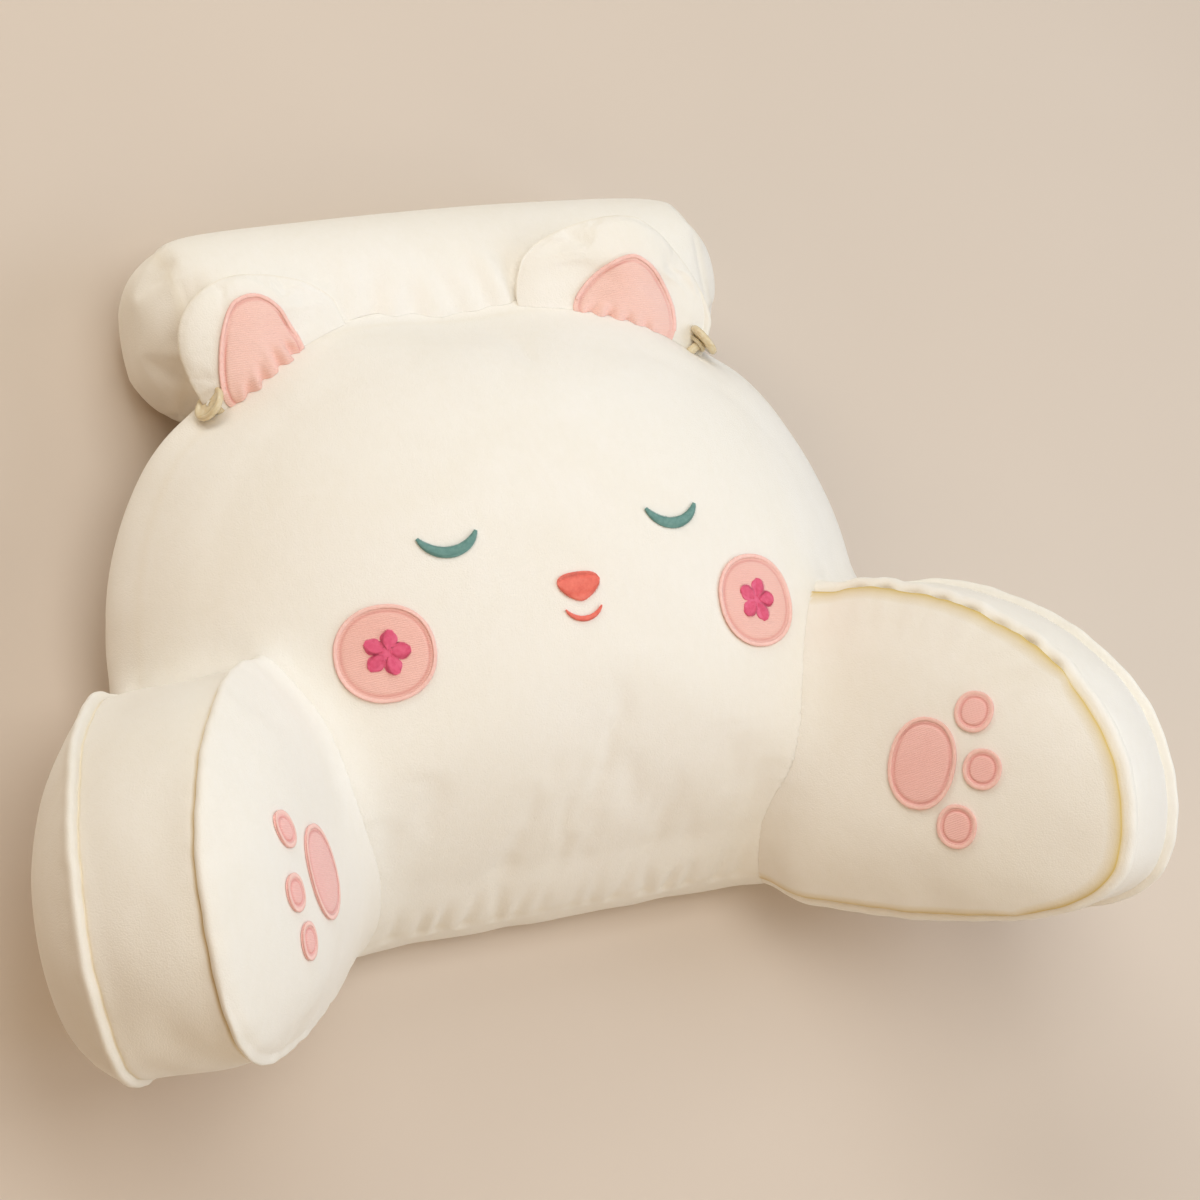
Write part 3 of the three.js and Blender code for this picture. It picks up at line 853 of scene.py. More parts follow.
# %% [markdown]
# The lips stay pinned while panels and gusset swell. Short puckers run from the right arm's seam into its
# inner panel, where the thread was drawn tight.

# %% The arms
ARM_CELLS = 44
ARM_CALM = 6
HOLD_FALL = 22
PUCKER_ANGLES = {-1: (), 1: (38, 46, 55, 63, 72, 80, 89, 97)}
PUCKER = {"from": 0.985, "to": 0.76, "slant": 0.05, "width": 4.0, "depth": 3.0}


def arm_sewn(bag, profile):
    """1 on a lip and in its slot, 0 on the panels and the gusset."""
    seam = profile[bag.row][:, 0]
    held = np.where((seam == 0) | (seam == 1), 1.0, 0.0)
    panel = bell((1 - bag.share) * HOLD_FALL)
    return bag.choose(panel, held, panel)


def inner_width(share):
    """Width at which the inner panel lies."""
    return -INNER_CROWN * crown(share, PANEL_FULLNESS, INNER_SOFTNESS)


def panel_spot(side, angle, share):
    """A point on the inner panel of an arm."""
    reach = share * arm_outline.radius(angle)
    height = np.array([ARM_WAIST + reach * math.sin(angle)])
    length = np.array([ARM_MIDDLE + reach * math.cos(angle)])
    return arm_placed(side, np.array([inner_width(share)]), height, length)[0]


def puckers(side):
    folds = []
    for k, angle in enumerate(np.radians(PUCKER_ANGLES[side])):
        start = panel_spot(side, angle, PUCKER["from"])
        end = panel_spot(side, angle + PUCKER["slant"], PUCKER["to"])
        folds.append((start, end, PUCKER["width"], PUCKER["depth"] + math.sin(2.3 * k)))
    return folds


arm_shapes = {}
for side, hand in HANDS.items():
    profile = arm_profile(side)
    bag = Bag(ARM_CELLS, len(profile) - 2)
    flat_arm = arm_points(side, bag, profile)
    faces = facing_out(flat_arm, bag.faces)
    sewn = arm_sewn(bag, profile)
    soft = blown_up("arm_bag_" + hand, flat_arm, faces, sewn, shrink=4.0, limit=8.0, slack=0.02)
    soft = eased(soft, faces, 1 - sewn, ARM_CALM)
    # Painted shade in each slot and beside it, fading out into the panels.
    slot_shade = profile[bag.row][:, 3] * bell((1 - bag.share) * HOLD_FALL)
    fine, faces, painted_shade = refined(soft, faces, slot_shade)
    arm_shapes[side] = folded(fine, faces, puckers(side)), faces, painted_shade
    print("arm", hand, "faces:", len(faces))

# %% [markdown]
# Stuffed pieces that are sewn together meet in a soft hollow, not in a sharp line. A remesh could fill that
# corner, but it would melt the seams too. Here each surface looks for the other one and rises towards it: the
# rise is greatest where they touch and fades out within a short reach, so both arrive in the same direction.

# %% Soft hollows
BLEND_SHARE = 0.78
BLEND_ROUNDS = 3
BLEND_INSIDE = -0.3
NORMAL_ROUNDS = 12
GROUND_ROOM = 24.0
HIDDEN_DEPTH = 1.5


def gaps_to(tree, points, reach):
    """Distance of each point to a surface, negative inside it."""
    gaps = np.full(len(points), 2 * reach)
    for i, point in enumerate(points):
        spot, normal, _, distance = tree.find_nearest(Vector(point), 2 * reach)
        if spot is not None:
            gaps[i] = math.copysign(distance, (Vector(point) - spot).dot(normal))
    return gaps


def soft_normals(points, faces):
    """Normals averaged with their neighbours, so that a lip moves as a whole."""
    normals = normals_of(points, faces)
    for _ in range(NORMAL_ROUNDS):
        normals = unit(at_points(normals[faces].mean(axis=1), faces, len(points)))
    return normals


def blended(points, faces, tree, reach):
    """Points that rise where another surface is near. Points on the ground or well inside it stay."""
    normals = soft_normals(points, faces)
    room = smooth_step(points[:, 2] - ground_at(points[:, 1]), 0, GROUND_ROOM)
    room = room * smooth_step(gaps_to(tree, points, reach), BLEND_INSIDE * reach, 0)
    rise = np.zeros(len(points))
    for _ in range(BLEND_ROUNDS):
        gap = gaps_to(tree, points + normals * rise[:, None], reach)
        rise = BLEND_SHARE * reach / 4 * np.clip(1 - (gap - rise) / reach, 0, 1) ** 2 * room
    return points + normals * rise[:, None]


def surface(points, faces):
    return BVHTree.FromPolygons(points.tolist(), faces.tolist())


def showing(points, faces, tree, reach):
    """The faces of a surface that lie outside another one, so that nothing rises over a hidden part."""
    return surface(points, faces[gaps_to(tree, points[faces].mean(axis=1), reach) > -HIDDEN_DEPTH])


print("two surfaces share", BLEND_SHARE, "of a full round")

# %% [markdown]
# After the blend, a piece is cut by a copy of its neighbour that is a trace larger, so that the two never
# overlap. The cut can leave scraps inside the neighbour, and only the largest body is kept.

# %% Cutting
CUT_CLEARANCE = 0.1
CUT_EDGE = math.radians(50)


def cutting_copy(name, points, faces):
    return loose_object(name, placed(points + normals_of(points, faces) * CUT_CLEARANCE), faces)


def keep_largest(mesh):
    """Removes scraps. The lowest index of each body spreads over its edges until nothing changes."""
    edges = np.empty(len(mesh.edges) * 2, dtype=int)
    mesh.edges.foreach_get("vertices", edges)
    edges = edges.reshape(-1, 2)
    label = np.arange(len(mesh.vertices))
    changing = True
    while changing:
        lowest = np.minimum(label[edges[:, 0]], label[edges[:, 1]])
        nearer = label.copy()
        np.minimum.at(nearer, edges[:, 0], lowest)
        np.minimum.at(nearer, edges[:, 1], lowest)
        nearer = nearer[nearer]
        changing = bool((nearer != label).any())
        label = nearer
    bodies, sizes = np.unique(label, return_counts=True)
    if len(bodies) > 1:
        drop_points(mesh, np.flatnonzero(label != bodies[sizes.argmax()]))


def drop_points(mesh, indices):
    shape = bmesh.new()
    shape.from_mesh(mesh)
    shape.verts.ensure_lookup_table()
    bmesh.ops.delete(shape, geom=[shape.verts[i] for i in indices], context="VERTS")
    shape.to_mesh(mesh)
    shape.free()


def cut_by(piece, tools):
    for tool in tools:
        cutter = piece.modifiers.new("cutter", "BOOLEAN")
        cutter.operation = "DIFFERENCE"
        cutter.solver = "MANIFOLD"
        cutter.object = tool
    whole = piece.data
    piece.data = evaluated(piece)
    piece.modifiers.clear()
    bpy.data.meshes.remove(whole)
    keep_largest(piece.data)
    piece.data.set_sharp_from_angle(angle=CUT_EDGE)


print("cut pieces stay", CUT_CLEARANCE, "mm apart")

# %% [markdown]
# Arms and back rise towards each other, and then the back cushion cuts off the rear end of each arm.

# %% Where the arms meet the back
ARM_REACH = 26.0
back_alone = surface(back_fine, back_faces)
for side, (fine, faces, painted_shade) in arm_shapes.items():
    arm_alone = surface(fine, faces)
    arm_shapes[side] = blended(fine, faces, back_alone, ARM_REACH), faces, painted_shade
    back_fine = blended(back_fine, back_faces, arm_alone, ARM_REACH)
back_tree = surface(back_fine, back_faces)
# Painted shade along the seams, weakened to a trace.
back_cushion = finished("back_cushion", back_fine, back_faces, back_shade * BACK_SHADE, ivory_plush)
back_tool = cutting_copy("back_tool", back_fine, back_faces)
arms = {}
arm_trees = {}
for side, (fine, faces, painted_shade) in arm_shapes.items():
    arm_trees[side] = surface(fine, faces)
    arms[side] = finished("arm_" + HANDS[side], fine, faces, painted_shade, ivory_plush)
    cut_by(arms[side], [back_tool])
    print("arm", HANDS[side], "faces:", len(arms[side].data.polygons))

# %% [markdown]
# The ears are small flat pads with a pointed inner end. They stand on the front seam of the back cushion and
# lean back on the bolster. Short folds fan out from the base, because the ear is gathered where it is sewn
# in.

# %% The ears
EAR = {
    -1: {"x": -109.0, "y": 345.0, "apex": 17.5, "inner": 62.0, "outer": 44.0, "height": 45.0, "bow": 2.4},
    1: {"x": 99.0, "y": 351.0, "apex": 2.5, "inner": 66.0, "outer": 65.0, "height": 48.6, "bow": 1.4},
}
EAR_BASE_BOW = 4.0
EAR_INNER_BOW = 1.45
EAR_MIDDLE = 14.0
EAR_TUCK = 26.0
EAR_SLOPE = math.radians(23)
EAR_LEAN = math.radians(10)
EAR_THICK = 25.0
EAR_FULLNESS = 2.4
EAR_SOFTNESS = 0.65
EAR_PANEL = 0.97
EAR_CELLS = 44
EAR_SHADE = 0.12
# A fold of an ear is its place along the base, its place over the base and its length.
EAR_FOLDS = {
    -1: ((-17, 1, 13), (-5, -1, 17), (8, -4, 14), (20, -8, 12)),
    1: ((-18, -6, 12), (-6, -7, 14), (7, -8, 13), (21, -9, 14)),
}
EAR_FOLD = {"narrower": 0.8, "front": (11.0, 12.0), "width": 2.4, "depth": 3.4}


def ear_outline(side):
    sizes = EAR[side]

    def bow(u, v):
        return np.where(v < 0, EAR_BASE_BOW, np.where(u > 0, sizes["bow"], EAR_INNER_BOW))
    return Outline(sizes["outer"], sizes["inner"], sizes["height"], EAR_MIDDLE + EAR_TUCK, bow)


def ear_turn(side):
    return turned(2, -side * EAR_SLOPE) @ turned(0, EAR_LEAN)


def ear_placed(side, u, v, w):
    """From along the base, away from the base and out of the ear's front, to the cushion's frame."""
    sizes = EAR[side]
    root = np.array([sizes["x"], sizes["y"], BACK["seam"]])
    return np.stack([side * (u + sizes["apex"]), v, w], axis=1) @ ear_turn(side).T + root


def ear_points(side, bag):
    outline = ear_outline(side)
    angle = outline.angle(bag.turn)
    share = bag.choose(bag.share * EAR_PANEL, 1.0, bag.share * EAR_PANEL)
    reach = share * outline.radius(angle)
    thick = EAR_THICK / 2 * crown(share, EAR_FULLNESS, EAR_SOFTNESS)
    u = reach * np.cos(angle)
    v = EAR_MIDDLE + reach * np.sin(angle)
    return ear_placed(side, u, v, bag.choose(-thick, 0, thick))


def ear_folds(side):
    folds = []
    for u, v, long in EAR_FOLDS[side]:
        along = np.array([u, u * EAR_FOLD["narrower"]])
        low, high = ear_placed(side, along, np.array([v, v + long]), np.array(EAR_FOLD["front"]))
        folds.append((low, high, EAR_FOLD["width"], EAR_FOLD["depth"]))
    return folds


ear_shapes = {}
for side, hand in HANDS.items():
    bag = Bag(EAR_CELLS, 1)
    flat_ear = ear_points(side, bag)
    faces = facing_out(flat_ear, bag.faces)
    sewn = np.where(bag.row == 1, 1.0, 0.0)
    soft = blown_up("ear_bag_" + hand, flat_ear, faces, sewn, shrink=1.5, limit=3.0, slack=0.03)
    # Painted shade along the ear's band.
    fine, faces, painted_shade = refined(soft, faces, np.where(bag.row == 1, EAR_SHADE, 0.0))
    ear_shapes[side] = folded(fine, faces, ear_folds(side)), faces, painted_shade
    print("ear", hand, "faces:", len(faces))

# %% [markdown]
# The bolster is a stuffed roll. Its end panels are drawn in by a seam, its underside lies flat on the ground,
# and soft folds run round it where the ears and the back cushion press into it.

# %% The head bolster
BOLSTER_LENGTH = 373.0
BOLSTER_RADIUS = 58.5
BOLSTER_AT = np.array([7.5, 377.0, -16.0])
BOLSTER_CELLS = 20
BOLSTER_ROWS = 64
BOLSTER_SHADE = 0.1
MIDDLE_FULLER = 0.01
END_INSET = 18.0
END_SHARE = 0.86
END_RUN = 13.0
END_DENSER = 1.15
END_BULGE = 4
END_PULL = 0.02
END_SEAM = 3.0
END_REACH = 50.0
END_HOLD = 0.3
# A fold is its two ends, its width and its depth.
BOLSTER_FOLDS = (
    ((44, 362, 36), (38, 412, 40), 7, 3.4),
    ((27, 360, 36), (8, 410, 40), 7, 3.0),
    ((8, 360, 36), (-10, 404, 42), 8, 2.4),
    ((-24, 360, 36), (-22, 400, 42), 9, 2.2),
    ((-50, 362, 36), (-38, 412, 40), 8, 2.6),
    ((-150, 368, 36), (-157, 412, 34), 6, 3.0),
)


def bolster_points(bag):
    half = BOLSTER_LENGTH / 2
    step = bag.row / bag.last
    inset = END_INSET + (half - END_INSET) * (1 - np.abs(2 * step - 1)) ** END_DENSER
    share = 1 - (1 - END_SHARE) * np.exp(-(inset - END_INSET) / END_RUN) + MIDDLE_FULLER * inset / half
    share = share - END_PULL * bell((inset - END_INSET) / END_SEAM)
    bulge = END_INSET * bag.share**END_BULGE
    inset = bag.choose(bulge, inset, bulge)
    share = bag.choose(END_SHARE * bag.share, share, END_SHARE * bag.share)
    x = np.where(step < 0.5, inset - half, half - inset)
    angle = 2 * np.pi * bag.turn
    y = share * BOLSTER_RADIUS * np.cos(angle)
    z = share * BOLSTER_RADIUS * np.sin(angle)
    return above_ground(np.stack([x, y, z], axis=1) + BOLSTER_AT)


bag = Bag(BOLSTER_CELLS, BOLSTER_ROWS)
flat_bolster = bolster_points(bag)
faces = facing_out(flat_bolster, bag.faces)
panel_gap = (1 - bag.share) * END_REACH
end_gap = bag.choose(panel_gap, np.minimum(bag.row, bag.last - bag.row) * END_SEAM, panel_gap)
near_end = bell(end_gap / END_SEAM)
soft = blown_up("bolster_bag", flat_bolster, faces, END_HOLD * near_end, shrink=3.0, limit=9.0, slack=0.03)
# Painted shade near the end seams.
fine, bolster_faces, bolster_shade = refined(above_ground(soft), faces, BOLSTER_SHADE * near_end)
bolster_fine = folded(fine, bolster_faces, BOLSTER_FOLDS)
print("bolster faces:", len(bolster_faces))

# %% [markdown]
# An ear lies on the bolster, and the pile of both pieces closes the corner between them. The same blend with
# a shorter reach softens that line. Then the back cushion cuts the base of each ear, and the back and the
# ears cut their hollows into the bolster.

# %% Where the ears meet the bolster
EAR_REACH = 15.0
ears = {}
ear_trees = {}
ear_tools = []
bolster_alone = surface(bolster_fine, bolster_faces)
for side, (fine, faces, painted_shade) in ear_shapes.items():
    ear_showing = showing(fine, faces, bolster_alone, EAR_REACH)
    fine = blended(fine, faces, bolster_alone, EAR_REACH)
    bolster_fine = blended(bolster_fine, bolster_faces, ear_showing, EAR_REACH)
    ear_trees[side] = surface(fine, faces)
    ear_tools.append(cutting_copy("ear_tool_" + HANDS[side], fine, faces))
    ears[side] = finished("ear_" + HANDS[side], fine, faces, painted_shade, ivory_plush)
    cut_by(ears[side], [back_tool])
head_bolster = finished("head_bolster", bolster_fine, bolster_faces, bolster_shade, ivory_plush)
cut_by(head_bolster, [back_tool, *ear_tools])
bolster_tool = cutting_copy("bolster_tool", bolster_fine, bolster_faces)
print("bolster after the cut:", len(head_bolster.data.polygons), "faces")

# %% [markdown]
# Patches are thin cloth on top of a soft piece. Each point of a patch looks for the surface below it with a
# ray, so the patch follows every fold. A host knows that surface: where a point of the flat patch should lie
# on the front, on an arm's inner panel or on an ear, and which way is out.

# %% Hosts for patches
RAY_START = 30
RAY_LENGTH = 80
PAW_LEAN = {-1: 0.0, 1: math.radians(8)}


class Host:
    """The surface under a patch, with a function that gives a rough point for u and v, and the way out."""

    def __init__(self, tree, spot, out):
        self.tree = tree
        self.spot = spot
        self.out = np.array(out) / np.linalg.norm(out)

    def lay(self, u, v, lift):
        nominal = self.spot(u, v)
        laid = nominal.copy()
        for i, point in enumerate(nominal):
            hit = self.tree.ray_cast(Vector(point + self.out * RAY_START), Vector(-self.out), RAY_LENGTH)[0]
            if hit is not None:
                laid[i] = hit
        return laid + self.out * np.broadcast_to(lift, len(laid))[:, None]


def front_host(x, y):
    def spot(u, v):
        share = back_outline.share(x + u, y + v - BACK["middle"]) / BACK["seam_share"]
        return np.stack([x + u, y + v, front_height(share)], axis=1)
    return Host(back_tree, spot, (0, 0, 1))


def arm_host(side, length, height):
    lean = PAW_LEAN[side]

    def spot(u, v):
        along = length + u * math.cos(lean) + v * math.sin(lean)
        up = height + v * math.cos(lean) - u * math.sin(lean)
        share = arm_outline.share(along - ARM_MIDDLE, up - ARM_WAIST)
        return arm_placed(side, inner_width(share), up, along)
    return Host(arm_trees[side], spot, arm_turn(side) @ np.array([-side, 0, 0]))


def ear_host(side, shift):
    def spot(u, v):
        return ear_placed(side, u + shift, v, np.full(len(u), EAR_THICK / 2))
    return Host(ear_trees[side], spot, ear_turn(side) @ np.array([0, 0, 1]))


print("a host looks", RAY_LENGTH, "mm deep for its surface")

# %% [markdown]
# A patch is a flat bag with an oval or rounded outline. Its middle is slightly padded, and a groove runs
# inside its edge where the border stitches pull it down.

# %% Patches
PATCH_CELLS = 44
LINING_CELLS = 56
PATCH_LIFT = 0.3
PATCH_THICK = 0.8
PATCH_LOW_RIM = 0.3
PATCH_HIGH_RIM = 0.75
GROOVE_INSIDE = 3.5
GROOVE_WIDTH = 0.6
OVAL_BOW = 2.15
LINING = {
    -1: {"shift": 0.0, "inner": 25.0, "outer": 33.0, "up": 44.5, "bow_inner": 2.8, "bow_outer": 1.5},
    1: {"shift": 1.0, "inner": 29.0, "outer": 38.5, "up": 37.0, "bow_inner": 1.5, "bow_outer": 1.7},
}
LINING_DOWN = 12.0
LINING_BASE_BOW = 4.0
# A spot is its length and height on an arm, and a size is half of the patch that way.
PAW_SPOTS = {
    -1: {"pad": (91.0, 84.0), "toe_1": (119.0, 117.0), "toe_2": (131.0, 86.0), "toe_3": (129.0, 59.0)},
    1: {"pad": (84.0, 89.0), "toe_1": (112.0, 121.0), "toe_2": (120.0, 89.0), "toe_3": (107.0, 55.0)},
}
PAW_SIZES = {
    -1: {"pad": (18.5, 25.5), "toe_1": (9.0, 9.8), "toe_2": (9.0, 9.8), "toe_3": (8.5, 9.8)},
    1: {"pad": (20.0, 26.5), "toe_1": (11.0, 11.5), "toe_2": (11.0, 11.5), "toe_3": (11.5, 12.5)},
}
CHEEK = {"x": 116.0, "y": 158.0, "radius": 27.0}


def oval(long, high):
    return Outline(long, long, high, high, lambda u, v: np.full(np.shape(u), OVAL_BOW))


def lining_outline(side):
    sizes = LINING[side]

    def bow(u, v):
        return np.where(v < 0, LINING_BASE_BOW, np.where(u > 0, sizes["bow_outer"], sizes["bow_inner"]))
    return Outline(sizes["outer"], sizes["inner"], sizes["up"], LINING_DOWN, bow)


def patch(name, host, outline, material, cells=PATCH_CELLS, pad=0.7, groove=0.8):
    bag = Bag(cells, 2)
    angle = outline.angle(bag.turn)
    reach = bag.choose(bag.share, 1.0, bag.share) * outline.radius(angle)
    inside = (1 - bag.share) * outline.radius(angle)
    in_groove = bell((inside - GROOVE_INSIDE) / GROOVE_WIDTH)
    padding = pad * (1 - bag.share**4) - groove * in_groove
    rim = np.where(bag.row == 1, PATCH_LOW_RIM, PATCH_HIGH_RIM) * PATCH_THICK
    lift = PATCH_LIFT + bag.choose(0, rim, PATCH_THICK + padding)
    points = host.lay(reach * np.cos(angle), reach * np.sin(angle), lift)
    # The groove is also passed on as painted shade for the patch's colour.
    return finished(name, points, bag.faces, in_groove, material)


cheek_hosts = {side: front_host(side * CHEEK["x"], CHEEK["y"]) for side in HANDS}
borders = []
sheets = []
for side, hand in HANDS.items():
    for spot, place in PAW_SPOTS[side].items():
        host = arm_host(side, *place)
        outline = oval(*PAW_SIZES[side][spot])
        name = f"paw_{spot}_{hand}"
        sheets.append((patch(name, host, outline, pink_velour), outline, arms[side]))
        borders.append((name + "_border", host, outline))
    outline = oval(CHEEK["radius"], CHEEK["radius"])
    cheek = patch("cheek_" + hand, cheek_hosts[side], outline, pale_velour)
    sheets.append((cheek, outline, back_cushion))
    borders.append(("cheek_" + hand + "_border", cheek_hosts[side], outline))
    host = ear_host(side, LINING[side]["shift"])
    outline = lining_outline(side)
    lining = patch("ear_lining_" + hand, host, outline, lining_velour, LINING_CELLS)
    cut_by(lining, [back_tool])
    sheets.append((lining, outline, ears[side]))
    borders.append(("ear_lining_" + hand + "_border", host, outline))
print("patches:", len(sheets))

# %% [markdown]
# Satin stitches lie side by side across a line. They repeat hundreds of times, so a Geometry Nodes tree sets
# them: it takes a path whose points know the way out of the surface and how long a stitch is there, spaces
# stitches along it, turns each one across the path and makes them real. The same tree sews the borders, the
# eyes, the nose and the flowers.

# %% The stitching tree
STITCH_SIDES = 6
STITCH_RINGS = 4
STITCH_FACES = STITCH_SIDES * STITCH_RINGS
STITCH_INPUTS = (
    ("Pitch", "Float"), ("Thread width", "Float"), ("Thread height", "Float"),
    ("Wander", "Float"), ("Seed", "Int"), ("Finish", "Material"),
)


def stitching_tree():
    tree = bpy.data.node_groups.new("satin_stitches", "GeometryNodeTree")
    tree.interface.new_socket("Path", in_out="INPUT", socket_type="NodeSocketGeometry")
    for name, kind in STITCH_INPUTS:
        tree.interface.new_socket(name, in_out="INPUT", socket_type="NodeSocket" + kind)
    tree.interface.new_socket("Stitches", in_out="OUTPUT", socket_type="NodeSocketGeometry")

    def node(kind, settings=None, inputs=None):
        made = tree.nodes.new(kind)
        for name, value in (settings or {}).items():
            setattr(made, name, value)
        for name, value in (inputs or {}).items():
            if isinstance(value, bpy.types.NodeSocket):
                tree.links.new(value, made.inputs[name])
            else:
                made.inputs[name].default_value = value
        return made.outputs

    def sum_of(operation, first, second):
        return node("ShaderNodeMath", {"operation": operation}, {0: first, 1: second})[0]

    given = node("NodeGroupInput")
    line = node("GeometryNodeMeshToCurve", None, {"Mesh": given["Path"]})
    spacing = {"Curve": line[0], "Length": given["Pitch"]}
    spots = node("GeometryNodeCurveToPoints", {"mode": "LENGTH"}, spacing)
    out = node("GeometryNodeInputNamedAttribute", {"data_type": "FLOAT_VECTOR"}, {"Name": "out"})
    long = node("GeometryNodeInputNamedAttribute", {"data_type": "FLOAT"}, {"Name": "long"})
    upright = node("FunctionNodeAlignRotationToVector", {"axis": "Z"}, {"Vector": out[0]})
    along = {"Rotation": upright[0], "Vector": spots["Tangent"]}
    across = node("FunctionNodeAlignRotationToVector", {"axis": "Y", "pivot_axis": "Z"}, along)
    low = sum_of("SUBTRACT", 1.0, given["Wander"])
    high = sum_of("ADD", 1.0, given["Wander"])
    chance = node("FunctionNodeRandomValue", {"data_type": "FLOAT"}, {2: low, 3: high, 8: given["Seed"]})
    sizes = {
        "X": sum_of("MULTIPLY", long[0], chance[1]), "Y": given["Thread width"], "Z": given["Thread height"],
    }
    size = node("ShaderNodeCombineXYZ", None, sizes)
    ball = {"Segments": STITCH_SIDES, "Rings": STITCH_RINGS, "Radius": 0.5}
    stitch = node("GeometryNodeMeshUVSphere", None, ball)
    row = {"Points": spots["Points"], "Instance": stitch[0], "Rotation": across[0], "Scale": size[0]}
    sewn = node("GeometryNodeInstanceOnPoints", None, row)
    smooth = node("GeometryNodeSetShadeSmooth", None, {0: sewn[0]})
    real = node("GeometryNodeRealizeInstances", None, {0: smooth[0]})
    coloured = node("GeometryNodeSetMaterial", None, {"Geometry": real[0], "Material": given["Finish"]})
    node("NodeGroupOutput", None, {0: coloured[0]})
    return tree


satin = stitching_tree()
identifiers = {item.name: item.identifier for item in satin.interface.items_tree if item.in_out == "INPUT"}
print("nodes of the stitching tree:", len(satin.nodes))

# %% [markdown]
# A run of stitches is a path on a host. The borders are the first runs: they lie just inside each patch's
# outline. An ear lining's border is open, because the rest of the patch is tucked into the seam.

# %% Borders
SEED = 7
BORDER_POINTS = 120
BORDER_LONG = 3.0
BORDER_LIFT = 1.5
BORDER_PAST = 0.6
LINING_BORDER = (2, 178)


def stitched(name, runs, material, pitch=0.5, width=0.8, height=0.8, wander=0.08):
    """Sews runs of satin stitches. A run is its points, stitch lengths, way out and whether it closes."""
    points, edges, ways, lengths = [], [], [], []
    for spots, long, out, closed in runs:
        first = sum(len(part) for part in points)
        count = len(spots)
        points.append(placed(spots))
        ways.append(np.tile(turned(0, RECLINE) @ out, (count, 1)))
        lengths.append(np.broadcast_to(long, count) / PER_METRE)
        edges += [(first + i, first + (i + 1) % count) for i in range(count if closed else count - 1)]
    mesh = bpy.data.meshes.new(name)
    mesh.from_pydata(np.concatenate(points).tolist(), edges, [])
    out_values = mesh.attributes.new("out", "FLOAT_VECTOR", "POINT").data
    out_values.foreach_set("vector", np.concatenate(ways).ravel())
    long_values = mesh.attributes.new("long", "FLOAT", "POINT").data
    long_values.foreach_set("value", np.concatenate(lengths))
    piece = bpy.data.objects.new(name, mesh)
    scene.collection.objects.link(piece)
    sewing = piece.modifiers.new("sewing", "NODES")
    sewing.node_group = satin
    values = {
        "Pitch": pitch / PER_METRE, "Thread width": width / PER_METRE, "Thread height": height / PER_METRE,
        "Wander": wander, "Seed": SEED, "Finish": material,
    }
    for key, value in values.items():
        sewing[identifiers[key]] = value
    piece.data = evaluated(piece)
    piece.modifiers.clear()
    bpy.data.meshes.remove(mesh)
    return piece


def border_run(host, outline, closed):
    if closed:
        angle = outline.angle(np.arange(BORDER_POINTS) / BORDER_POINTS)
    else:
        angle = np.radians(np.linspace(*LINING_BORDER, BORDER_POINTS))
    reach = outline.radius(angle) - BORDER_LONG / 2 + BORDER_PAST
    spots = host.lay(reach * np.cos(angle), reach * np.sin(angle), BORDER_LIFT)
    return spots, BORDER_LONG, host.out, closed


border_pieces = {}
for name, host, outline in borders:
    border_pieces[name] = stitched(name, [border_run(host, outline, "lining" not in name)], pink_thread)
stitch_count = sum(len(piece.data.polygons) for piece in border_pieces.values()) // STITCH_FACES
print("border stitches:", stitch_count)

# %% [markdown]
# The face is embroidered: closed eyes and a smile as arcs, a rounded nose, and a five-petal flower on each
# cheek. A thin pad of the same thread colour lies under the stitches, so that no plush shows between them.

# %% Eyes, nose and mouth
EYE = {"x": 70.0, "y": 208.0, "radius": 19.0, "sweep": math.radians(62), "wide": 7.5}
NOSE = {"y": 181.0, "half": 13.0, "up": 6.0, "down": 11.0, "up_bow": 2.6, "down_bow": 1.5, "lift": 1.3}
MOUTH = {"y": 160.0, "radius": 13.0, "sweep": math.radians(58), "wide": 3.6}
RUN_POINTS = 60
NOSE_RUN = 0.985
ARC_LIFT = 1.1
ARC_PAD = {"long": 0.97, "wide": 0.42, "rim": 0.4, "thick": 0.6, "crown": 0.3}
SMALL_CELLS = 12
round_outline = Outline(1.0, 1.0, 1.0, 1.0, lambda u, v: np.full(np.shape(u), 2.0))
nose_outline = Outline(
    NOSE["half"], NOSE["half"], NOSE["up"], NOSE["down"],
    lambda u, v: np.where(v > 0, NOSE["up_bow"], NOSE["down_bow"]),
)


def arc_run(x, y, sizes):
    """Stitches across an arc, shorter at both ends."""
    along = np.linspace(0, 1, RUN_POINTS)
    angle = (2 * along - 1) * sizes["sweep"] - np.pi / 2
    long = sizes["wide"] * np.sqrt(np.sin(np.pi * (0.04 + 0.92 * along)))
    host = front_host(x, y + sizes["radius"])
    spots = host.lay(sizes["radius"] * np.cos(angle), sizes["radius"] * np.sin(angle), ARC_LIFT)
    return spots, long, host.out, False


def arc_pad(name, x, y, sizes, material):
    """A thin strip along the arc, which the stitches cover."""
    bag = Bag(SMALL_CELLS, 2)
    angle = round_outline.angle(bag.turn)
    share = bag.choose(bag.share, 1.0, bag.share)
    along = share * np.cos(angle)
    across = share * np.sin(angle)
    place = along * sizes["sweep"] * ARC_PAD["long"] - np.pi / 2
    reach = sizes["radius"] + across * sizes["wide"] * ARC_PAD["wide"]
    top = ARC_PAD["thick"] + ARC_PAD["crown"] * (1 - bag.share**2)
    lift = PATCH_LIFT + bag.choose(0, ARC_PAD["rim"], top)
    host = front_host(x, y + sizes["radius"])
    points = host.lay(reach * np.cos(place), reach * np.sin(place), lift)
    return finished(name, points, bag.faces, np.zeros(len(points)), material)


